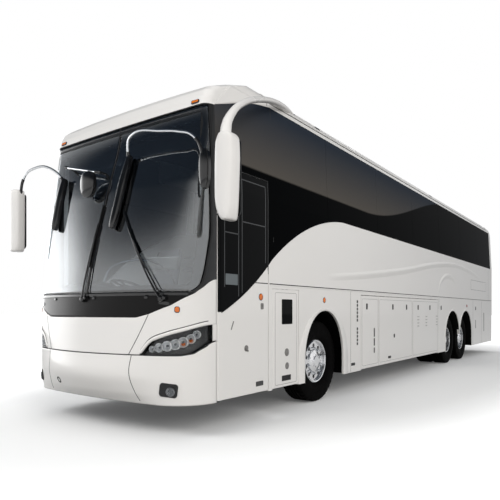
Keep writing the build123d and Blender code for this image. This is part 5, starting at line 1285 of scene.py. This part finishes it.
@dataclass
class Wheel:
    """One wheel: a tyre turned from its section and cut with a tread, and the bright parts of its rim."""
    name: str
    body: str
    node: str
    side: int
    axle: float
    tyres: tuple
    disc: float
    hub_end: float
    nut_circle: float = 0.1675
    nuts: int = 10
    steps: int = 168
    pitch: int = 4
    groove: float = 0.013
    notch: float = 0.011
    shoulder: float = 0.068
    tread: tuple = ((0.082, 0), (0.08, 1), (0.068, 1), (0.066, 0), (0.03, 0), (0.028, 1), (0.016, 1), (0.014, 0))

    @property
    def middle(self) -> tuple[float, float, float]:
        """The axle's middle."""
        return 0, self.axle, TYRE_R

    @property
    def out(self) -> Points:
        """Outward direction."""
        return self.side * RIGHTWARDS

    def spots(self, reach: Points, radius: Points, angle: Points) -> Points:
        """Points given by their distance along the axle, their distance from it and their angle round it."""
        reach, radius, angle = np.broadcast_arrays(reach, radius, angle)
        return np.stack([self.side * reach, self.axle + radius * np.cos(angle), TYRE_R + radius * np.sin(angle)], -1)

    def tyre(self, form: Form, middle: float) -> None:
        """Section: bead, bulging sidewall with a rib, rounded shoulder and a tread with five ribs. Grooves cut
        across the shoulders where the angle's share of a pitch is small."""
        half, seat = TYRE_W / 2, RIM_W / 2
        bead = (seat - 0.006, RIM_R + 0.001)
        bulge = [(0.006, 0.09), (0.001, 0.125), (0.002, 0.128), (0.002, 0.14), (0.007, 0.17), (0.012, 0.2)]
        shoulder = [(0.017, 0.028), (0.022, 0.012), (0.034, 0.003)]
        wall = np.array([bead, (seat + 0.006, RIM_R + 0.013), (seat + 0.03, RIM_R + 0.045)]
                        + [(half - inward, RIM_R + rise) for inward, rise in bulge]
                        + [(half - inward, TYRE_R - fall) for inward, fall in shoulder])
        top = np.array([(a, TYRE_R - 0.001 - self.groove * cut) for a, cut in ((half - 0.05, 0), *self.tread)])
        profile = np.vstack([wall, top, top[::-1] * (-1, 1), wall[::-1] * (-1, 1)])
        along, radius = profile[:, :1], np.broadcast_to(profile[:, 1:], (len(profile), self.steps))
        block = (np.arange(self.steps) % self.pitch == 0) & (radius > TYRE_R - 0.03) & (np.abs(along) > self.shoulder)
        radius = np.where(block, radius - self.notch, radius)
        form.grid(self.spots(middle + along, radius, around(self.steps)), round_v=True)
        form.lathe(np.array([bead, (-bead[0], bead[1])]) + (middle, 0), self.middle, self.out, count=self.steps)

    def bright(self) -> None:
        """Flange lip, nuts with their stud ends, and the valve."""
        form, nut, dark = Form(f"{self.name}_nuts"), Form("nut"), Form(f"{self.name}_valve")
        lip = WHEEL_X + RIM_W / 2
        form.lathe([(lip - 0.012, RIM_R - 0.002), (lip + 0.001, RIM_R - 0.001), (lip + 0.004, RIM_R - 0.006),
                    (lip + 0.001, RIM_R - 0.014), (lip - 0.03, RIM_R - 0.02)], self.middle, self.out, count=72)
        nut.lathe([(-0.002, 0.023), (0.008, 0.023), (0.01, 0.019), (0.03, 0.018), (0.034, 0.014), (0.034, 0.008),
                   (0.046, 0.0075), (0.048, 0.0)], (0, 0, 0), self.out, count=12)
        form.repeat(nut, self.spots(self.disc, self.nut_circle, around(self.nuts, 0.5)))
        form.build(CHROME, body=self.body)
        dark.tube(self.spots(self.disc + np.array([0.002, 0.045, 0.06]), np.array([0.248, 0.24, 0.236]),
                             math.radians(18)), 0.005, BACKWARDS)
        dark.build(GLOSS_BLACK, body=self.body)

    def hub(self) -> None:
        """Hub cap of a turned profile, with eight small bolts round it."""
        form, bolt, end = Form(f"{self.name}_hub"), Form("bolt"), self.hub_end
        form.lathe([(end - 0.03, 0.125), (end - 0.018, 0.124), (end + 0.001, 0.096), (end + 0.002, 0.075),
                    (end + 0.012, 0.068), (end + 0.014, 0.03), (end + 0.014, 0.0)], self.middle, self.out, count=48)
        bolt.lathe([(-0.002, 0.007), (0.007, 0.007), (0.008, 0.0)], (0, 0, 0), self.out, count=8)
        form.repeat(bolt, self.spots(end + 0.001, 0.085, around(8)))
        form.build(ALUMINIUM, body=self.body)

    def build(self) -> None:
        """Builds the wheel."""
        form = Form(f"{self.name}_rubber")
        for middle in self.tyres:
            self.tyre(form, middle)
        form.build(RUBBER, body=self.body, stands_for=[self.node])
        self.bright()
        self.hub()


# ---------------------------------------------------------------- inside

@dataclass
class Cushions:
    """Passenger and driver seats: crowned cushions on slim frames."""
    first: float = -4.1
    pitch: float = 0.81
    rows: int = 12
    floor: float = 1.45
    back: tuple = (0, 0.98, -0.21)
    lean: tuple = (0, 0.21, 0.98)
    place_x: float = 0.235
    pair_x: float = 0.725

    def pad(self, form: Form, middle: Sequence[float], across: Sequence[float], along: Sequence[float], half_u: float,
            half_v: float, thick: float, channels: Sequence[float] = ()) -> None:
        """Crowned closed pad: two sheets whose height falls to nought at the outline, with sides that pull in
        between the corners and sewn channels across it.

        Args:
            form: where it goes.
            middle: its middle.
            across: direction of its width.
            along: direction of its length.
            half_u: half width.
            half_v: half length.
            thick: half thickness.
            channels: places along its length, from -1 to 1, where it is sewn down.
        """
        across, along = unit(across), unit(along)
        run = np.sin(np.linspace(-1, 1, 17) * QUARTER)
        v, u = np.meshgrid(run, run, indexing="ij")
        rise = ((1 - np.abs(u) ** 6) * (1 - np.abs(v) ** 6)) ** 0.42 * (0.86 + 0.14 * (1 - u ** 2) * (1 - v ** 2))
        for place in channels:
            rise = rise * (1 - 0.3 * np.exp(-((v - place) / 0.07) ** 2))
        wide, long = half_u * (1 - 0.045 * (1 - v ** 2)), half_v * (1 - 0.035 * (1 - u ** 2))
        for share in (1.0, -0.55):
            form.grid(np.asarray(middle, float) + (u * wide)[..., None] * across + (v * long)[..., None] * along
                      + (rise * thick * share)[..., None] * np.cross(across, along))

    def seat(self, form: Form, x: float, front: float, floor: float, half: float) -> None:
        """Cushion, back and head pad of one place."""
        self.pad(form, (x, front + 0.225, floor + 0.42), RIGHTWARDS, (0, 1, 0.06), half, 0.225, 0.062, (0.0,))
        lean, base = unit(self.lean), np.array([x, front + 0.47, floor + 0.47])
        self.pad(form, base + lean * 0.28, -RIGHTWARDS, lean, half, 0.29, 0.055, (-0.35, 0.3))
        self.pad(form, base + lean * 0.575, -RIGHTWARDS, lean, half * 0.82, 0.085, 0.05)

    def passengers(self) -> None:
        """Passenger places four to a row, with their frames and legs."""
        one, frame, pads, frames = Form("one"), Form("one_frame"), Form("seat_cushions"), Form("seat_frames")
        for x in (-self.place_x, self.place_x):
            self.seat(one, x, 0, 0, 0.22)
            frame.plate((x, 0.545, 0.78), RIGHTWARDS, self.back, 0.215, 0.33, 0.06, 0.02, sink=0.02)
        for x in (-0.47, 0.0, 0.47):
            frame.tube([(x, 0.06, 0.60), (x, 0.2, 0.62), (x, 0.4, 0.62), (x, 0.5, 0.56)], 0.018, RIGHTWARDS)
        for x in (-0.3, 0.3):
            frame.tube([(x, 0.3, 0.0), (x, 0.29, 0.2), (x, 0.28, 0.36)], 0.022, RIGHTWARDS)
        frame.tube([(-0.44, 0.28, 0.345), (0, 0.28, 0.345), (0.44, 0.28, 0.345)], 0.018)
        rows = np.arange(self.rows) * self.pitch + self.first
        places = np.array([(side * self.pair_x, y, self.floor) for side in (1, -1) for y in rows])
        pads.repeat(one, places)
        frames.repeat(frame, places)
        pads.build(FABRIC, stands_for=["seats"])
        frames.build(TRIM)

    def driver(self) -> None:
        """The driver's seat on its base."""
        pads, base = Form("driver_cushions"), Form("driver_base")
        self.seat(pads, DRIVER_X, NOSE + 0.67, 0.95, 0.24)
        pads.build(FABRIC, stands_for=["driver_seat"])
        base.plate((DRIVER_X, NOSE + 0.9, 0.952), RIGHTWARDS, UP, 0.17, 0.2, 0.03, 0.34)
        base.plate((DRIVER_X, NOSE + 1.215, 1.73), RIGHTWARDS, self.back, 0.23, 0.33, 0.08, 0.02, sink=0.02)
        base.build(BLACK_PLASTIC)

    def build(self) -> None:
        """Builds all seats."""
        self.passengers()
        self.driver()


@dataclass
class Cab:
    """What shows behind the screen: dashboard top, binnacle, steering wheel, rail, box and sun blinds."""
    column: tuple = (DRIVER_X, NOSE + 0.33, 0.95)

    def steering(self) -> None:
        """Steering wheel: a ring, four spokes, its boss and the column."""
        form, axis = Form("steering_rim"), unit((0, 0.342, 0.94))
        hub, first = np.array(self.column) + axis * 0.6, np.cross(axis, RIGHTWARDS)
        turn, small = around(48)[:, None, None], around(12)[None, :, None]
        ring = np.cos(turn) * RIGHTWARDS + np.sin(turn) * first
        form.grid(hub + ring * (0.225 + 0.016 * np.cos(small)) + axis * (0.016 * np.sin(small)), round_u=True,
                  round_v=True)
        for angle in np.radians((0, 180, 250, 290)):
            away = np.cos(angle) * RIGHTWARDS + np.sin(angle) * first
            form.tube(hub + away * np.array([0.04, 0.13, 0.222])[:, None]
                      - axis * np.array([0.012, 0.006, 0.0])[:, None], 0.013, axis)
        form.lathe([(-0.03, 0.05), (-0.005, 0.068), (0.008, 0.062), (0.014, 0.03), (0.015, 0)], hub, axis)
        form.lathe([(-0.55, 0.045), (-0.3, 0.042), (-0.12, 0.036), (-0.02, 0.034)], hub, axis)
        form.build(BLACK_PLASTIC, stands_for=["steering_wheel"])

    def fittings(self) -> None:
        """Grab rail and pole beside the entrance, and a pale folder on the dashboard."""
        rail, box = Form("dash_rail"), Form("dash_folder")
        rail.tube(bend([(0.02, -6.55, 1.52), (0.06, -6.52, 1.64), (0.25, -6.5, 1.715), (0.42, -6.49, 1.73),
                        (0.62, -6.47, 1.72)], 40), 0.011, BACKWARDS)
        rail.tube(bend([(0.62, -6.47, 1.72), (0.66, -6.3, 1.66), (0.68, -6.1, 1.42)], 20), 0.011, RIGHTWARDS)
        rail.tube([(0.3, -5.2, 1.5), (0.3, -5.2, 2.2), (0.3, -5.2, 3.2)], 0.016, BACKWARDS)
        box.plate((0.62, -6.28, 1.7), (0.95, -0.12, 0.05), (0.1, -0.9, 0.35), 0.21, 0.07, 0.008, 0.025)
        rail.build(CHROME)
        box.build(TRIM_PALE)

    def shells(self) -> None:
        """Dashboard top, which sags along its length, the binnacle's hood, the sun blinds and the lining."""
        top, hood, blind, lining = Form("dash_top"), Form("binnacle_hood"), Form("sun_blinds"), Form("cab_lining")
        x, share = np.linspace(-1.1, 1.02, 60), np.linspace(0, 1, 14)[None, :, None]
        front, _ = Nose.at(x, np.full(60, 1.40))
        back = np.column_stack([x, np.full(60, -6.2), np.full(60, 1.39)])
        sag = 0.03 * np.sin(np.pi * share) * np.cos(x * 1.3)[:, None, None]
        top.grid(front[:, None] * (1 - share) + back[:, None] * share + 0.07 * BACKWARDS * (1 - share) + sag * UP)
        arc, y = np.linspace(0, math.pi, 24)[:, None], np.linspace(-6.42, -6.08, 8)
        hood.grid(np.stack(np.broadcast_arrays(
            self.column[0] + 0.3 * np.cos(arc), y, 1.4 + (0.13 + 0.03 * (y - y[0]) / 0.34) * np.sin(arc) ** 0.6), -1))
        for side in (1, -1):
            blind.plate((side * 0.6, -6.12, 2.98), RIGHTWARDS, (0, -1, 0.22), 0.42, 0.1, 0.02, 0.008)
        x, y = np.linspace(-1.12, 1.12, 30)[None, :], np.linspace(-5.9, 6.4, 40)[:, None]
        drop = 0.34 * np.clip(-4.9 - y, 0, 1) ** 1.3
        lining.grid(np.stack(np.broadcast_arrays(x, y, 3.44 + 0.12 * (1 - (x / 1.2) ** 2) - drop), -1))
        top.build(BLACK_PLASTIC, wall=0.01)
        hood.build(BLACK_PLASTIC, wall=0.008)
        blind.build(BLACK_PLASTIC)
        lining.build(LINING, wall=0.004)

    def build(self) -> None:
        """Builds the cab."""
        self.steering()
        self.fittings()
        self.shells()


# ---------------------------------------------------------------- rear and roof

@dataclass
class RearTrim:
    """Louvres of the engine door, lamp rings, bumper joint and the blank plate recess."""
    door: str = "engine_door_leaf"

    def build(self) -> None:
        """Builds the tail's trim."""
        out = BACKWARDS
        louvre, plate, joint = Form("engine_louvres"), Form("plate_recess"), Form("tail_joints")
        rings, red, amber = Form("tail_lamp_rings"), Form("tail_lamp_red"), Form("tail_lamp_amber")
        for row in range(9):
            z = 1.28 + 0.062 * row
            louvre.strip(straight((-0.62, REAR, z), (0.62, REAR, z), 12), out,
                         [(-0.024, -0.003), (-0.02, 0.004), (0.02, 0.016), (0.024, 0.002)])
        plate.plate((0, REAR, 0.93), RIGHTWARDS, out, 0.28, 0.08, 0.012, 0.006)
        for side in (1, -1):
            for z, target in ((1.31, red), (1.15, amber), (0.99, red)):
                rings.lathe([(-0.002, 0.048), (0.006, 0.048), (0.008, 0.043), (0.004, 0.038)], (side, REAR, z), out)
                target.dome((side, REAR, z), out, 0.003, 0.012, 0.039, steps=7)
            red.plate((side * 0.85, REAR, 0.45), RIGHTWARDS, out, 0.11, 0.03, 0.01, 0.006)
        red.plate((0, REAR - 0.118, 3.285), RIGHTWARDS, (0, 0.99, 0.1), 0.22, 0.018, 0.008, 0.006)
        joint.line(straight((-1.08, REAR, 0.62), (1.08, REAR, 0.62), 30), out, 0.008, 0.0012)
        louvre.build(BLACK_PLASTIC, body=self.door)
        plate.build(TRIM_PALE, body=self.door)
        for form, finish in ((rings, GLOSS_BLACK), (red, RED), (amber, AMBER), (joint, SEAM)):
            form.build(finish)


@dataclass
class RoofTrim:
    """Two hatch outlines and the cap joint across the roof, level with its crown."""

    def build(self) -> None:
        """Lines follow the crown: its height falls with the square of the distance from the middle."""
        form = Form("roof_joints")
        loop = rounded(0.34, 0.42, 0.08)
        loop, x = np.vstack([loop, loop[:1]]), np.linspace(-1.04, 1.04, 60)
        runs = [(loop[:, 0], y + loop[:, 1], 0.012) for y in (-3.0, 3.4)] + [(x, np.full(60, CAP_REAR), 0.007)]
        for x, y, wide in runs:
            form.line(np.column_stack([x, y, ROOF - ROOF_FALL * (x / CROWN_HALF) ** 2]), UP, wide, 0.0, sink=0.003)
        form.build(SEAM)


# ---------------------------------------------------------------- studio

@dataclass
class Studio:
    """Pale floor, soft lamps, white background and the camera."""
    azimuth: float = math.radians(36.1)
    place: tuple[float, float, float] = (4.475, -10.03, 1.21)
    lens: float = 36.86
    rise: float = 0.122
    floor_reach: float = 150.0
    floor_z: float = -0.0005
    far: float = 400.0

    def camera(self) -> None:
        """Sets the camera at the photograph's viewing angle, level with the horizon."""
        data = bpy.data.cameras.new("camera")
        data.lens, data.shift_y, data.clip_end = self.lens, self.rise, self.far
        camera = bpy.data.objects.new("camera", data)
        camera.location = self.place
        camera.rotation_euler = (QUARTER, 0, self.azimuth)
        bpy.context.scene.collection.objects.link(camera)
        bpy.context.scene.camera = camera

    def light(self, name: str, place: Sequence[float], aim: Sequence[float], size: float, power: float,
              mirrored: bool = True, tint: tuple[float, float, float] = (1.0, 1.0, 1.0)) -> None:
        """Adds a square soft lamp that faces a point.

        Args:
            name: its name.
            place: where it stands.
            aim: the point that it faces.
            size: its side in metres.
            power: its power in watts.
            mirrored: whether gloss and glass show it.
            tint: its colour.
        """
        data = bpy.data.lights.new(name, "AREA")
        data.size, data.energy, data.color = size, power, tint
        lamp = bpy.data.objects.new(name, data)
        lamp.visible_glossy = lamp.visible_transmission = mirrored
        lamp.location = place
        away = np.array(place, float) - np.array(aim, float)
        lamp.rotation_euler = (math.atan2(math.hypot(away[0], away[1]), away[2]), 0,
                               math.atan2(away[1], away[0]) + QUARTER)
        bpy.context.scene.collection.objects.link(lamp)

    def world(self) -> None:
        """White for the camera and glass, and a soft plain sky light for the rest. Gloss shows white up to a low
        height and a dark ceiling above, and a bright card on the right that fades in, as in a studio."""
        world = bpy.data.worlds.new("studio")
        graph = Graph(world)
        rays = graph.add("ShaderNodeLightPath").outputs
        glossy = rays["Is Glossy Ray"]
        place = graph.add("ShaderNodeTexCoord").outputs["Generated"]
        axes = graph.add("ShaderNodeSeparateXYZ", {"Vector": place}).outputs
        dark = graph.math("MAXIMUM", graph.ramp(axes["Y"], 0.88, 0.99, high=0.64), graph.ramp(axes["Z"], 0.28, 0.52))
        level = graph.blend(graph.math("MULTIPLY", glossy, dark), (1, 1, 1, 1), linear("3A434F"))
        card = graph.math("MULTIPLY_ADD", graph.ramp(axes["X"], -0.8, -0.97), graph.math("MULTIPLY", glossy, 2.6), 1.0)
        seen = graph.math("MAXIMUM", rays["Is Camera Ray"], rays["Is Transmission Ray"])
        sky = graph.add("ShaderNodeBackground", {"Color": linear("F2F4F7"), "Strength": 0.62})
        white = graph.add("ShaderNodeBackground", {"Color": level, "Strength": card})
        both = graph.add("ShaderNodeMixShader", {0: graph.math("MAXIMUM", seen, glossy), 1: sky.outputs[0],
                                                 2: white.outputs[0]})
        graph.add("ShaderNodeOutputWorld", {"Surface": both.outputs[0]})
        bpy.context.scene.world = world

    def floor(self) -> None:
        """Pale floor: a wide flat grid, white where the camera sees it in full light, and it keeps the shadow."""
        run = np.linspace(-self.floor_reach, self.floor_reach, 5)
        y, x = np.meshgrid(run, run, indexing="ij")
        form = Form("studio_floor")
        form.grid(np.stack([x, y, np.full_like(x, self.floor_z)], -1))
        material = bpy.data.materials.new("pale_floor")
        graph = Graph(material)
        rays = graph.add("ShaderNodeLightPath").outputs
        bounce = graph.blend(rays["Is Diffuse Ray"], linear("F3F3F2"), linear("9C9B99"))
        matt = graph.add("ShaderNodeBsdfDiffuse", {"Color": bounce})
        place = graph.add("ShaderNodeTexCoord").outputs["Object"]
        scaled = graph.add("ShaderNodeVectorMath", {0: place, 1: (1.0, 0.36, 1.0)}, operation="MULTIPLY")
        away = graph.add("ShaderNodeVectorMath", {0: scaled.outputs[0]}, operation="LENGTH").outputs["Value"]
        lift = graph.math("MULTIPLY", rays["Is Camera Ray"], graph.ramp(away, 2.6, 5.4, 0.06, 1.0))
        glow = graph.add("ShaderNodeEmission", {"Color": (1, 1, 1, 1), "Strength": lift})
        both = graph.add("ShaderNodeAddShader", {0: matt.outputs[0], 1: glow.outputs[0]})
        graph.add("ShaderNodeOutputMaterial", {"Surface": both.outputs[0]})
        stage = form.build(body="", weld=False)
        stage.data.materials.append(material)

    def build(self) -> None:
        """Floor, world and lamps."""
        self.floor()
        self.world()
        self.light("key", (-5.0, -17.0, 12.0), (0, -5.0, 1.6), 9.0, 1000, mirrored=False)
        self.light("side", (15.0, -13.0, 9.0), (1.2, -4.0, 1.8), 9.0, 1480, mirrored=False, tint=(1.0, 0.98, 0.95))
        self.light("tail", (-9.0, 14.0, 9.0), (0, 4.0, 1.5), 8.0, 500)
        self.light("cab", (0.1, -5.95, 2.85), (0.1, -6.5, 1.4), 1.0, 26, mirrored=False)


# ---------------------------------------------------------------- nodes

def dress_nodes(frame: dict) -> None:
    """Gives every node of the frame the finish of its slot.

    Args:
        frame: the loaded frame.
    """
    for name, node in frame["nodes"].items():
        for slot in node.material_slots:
            # Side glass gets the finish with a painted reflection band on its upper part
            finish = SIDE_GLASS_PAINTED_REFLECTION if name.startswith("side_glass") else SLOTS.get(
                slot.material.name.split(".")[0] if slot.material else "", PAINT)
            slot.material = finish.make()


def main() -> None:
    """Builds the coach piece by piece."""
    logging.basicConfig(level=logging.INFO, format="%(message)s")
    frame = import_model()
    studio = Studio()
    studio.camera()
    dress_nodes(frame)
    studio.build()
    for part in (FrontPanels(), HeadLamps(), Mirrors(), Wipers(), SideTrim(1, "left"), SideTrim(-1, "right"),
                 DoorTrim(), Cushions(), Cab(), RearTrim(), RoofTrim()):
        part.build()
    single, twin = (WHEEL_X,), (WHEEL_X, WHEEL_X - TWIN)
    axles = (("front", "", FRONT_AXLE, single, WHEEL_X + 0.083, WHEEL_X + 0.12),
             ("drive", "s", DRIVE_AXLE, twin, WHEEL_X - TWIN / 2 + 0.013, WHEEL_X + 0.09),
             ("tag", "", TAG_AXLE, single, WHEEL_X + 0.083, WHEEL_X + 0.12))
    for side, name in SIDES:
        for kind, plural, axle, tyres, disc, hub_end in axles:
            Wheel(f"{kind}_{name}", f"{kind}_wheel{plural}_{name}", f"{kind}_tyre{plural}_{name}", side, axle, tyres,
                  disc, hub_end).build()
    bpy.context.scene.view_settings.view_transform = "Standard"


if __name__ == "__main__":
    main()
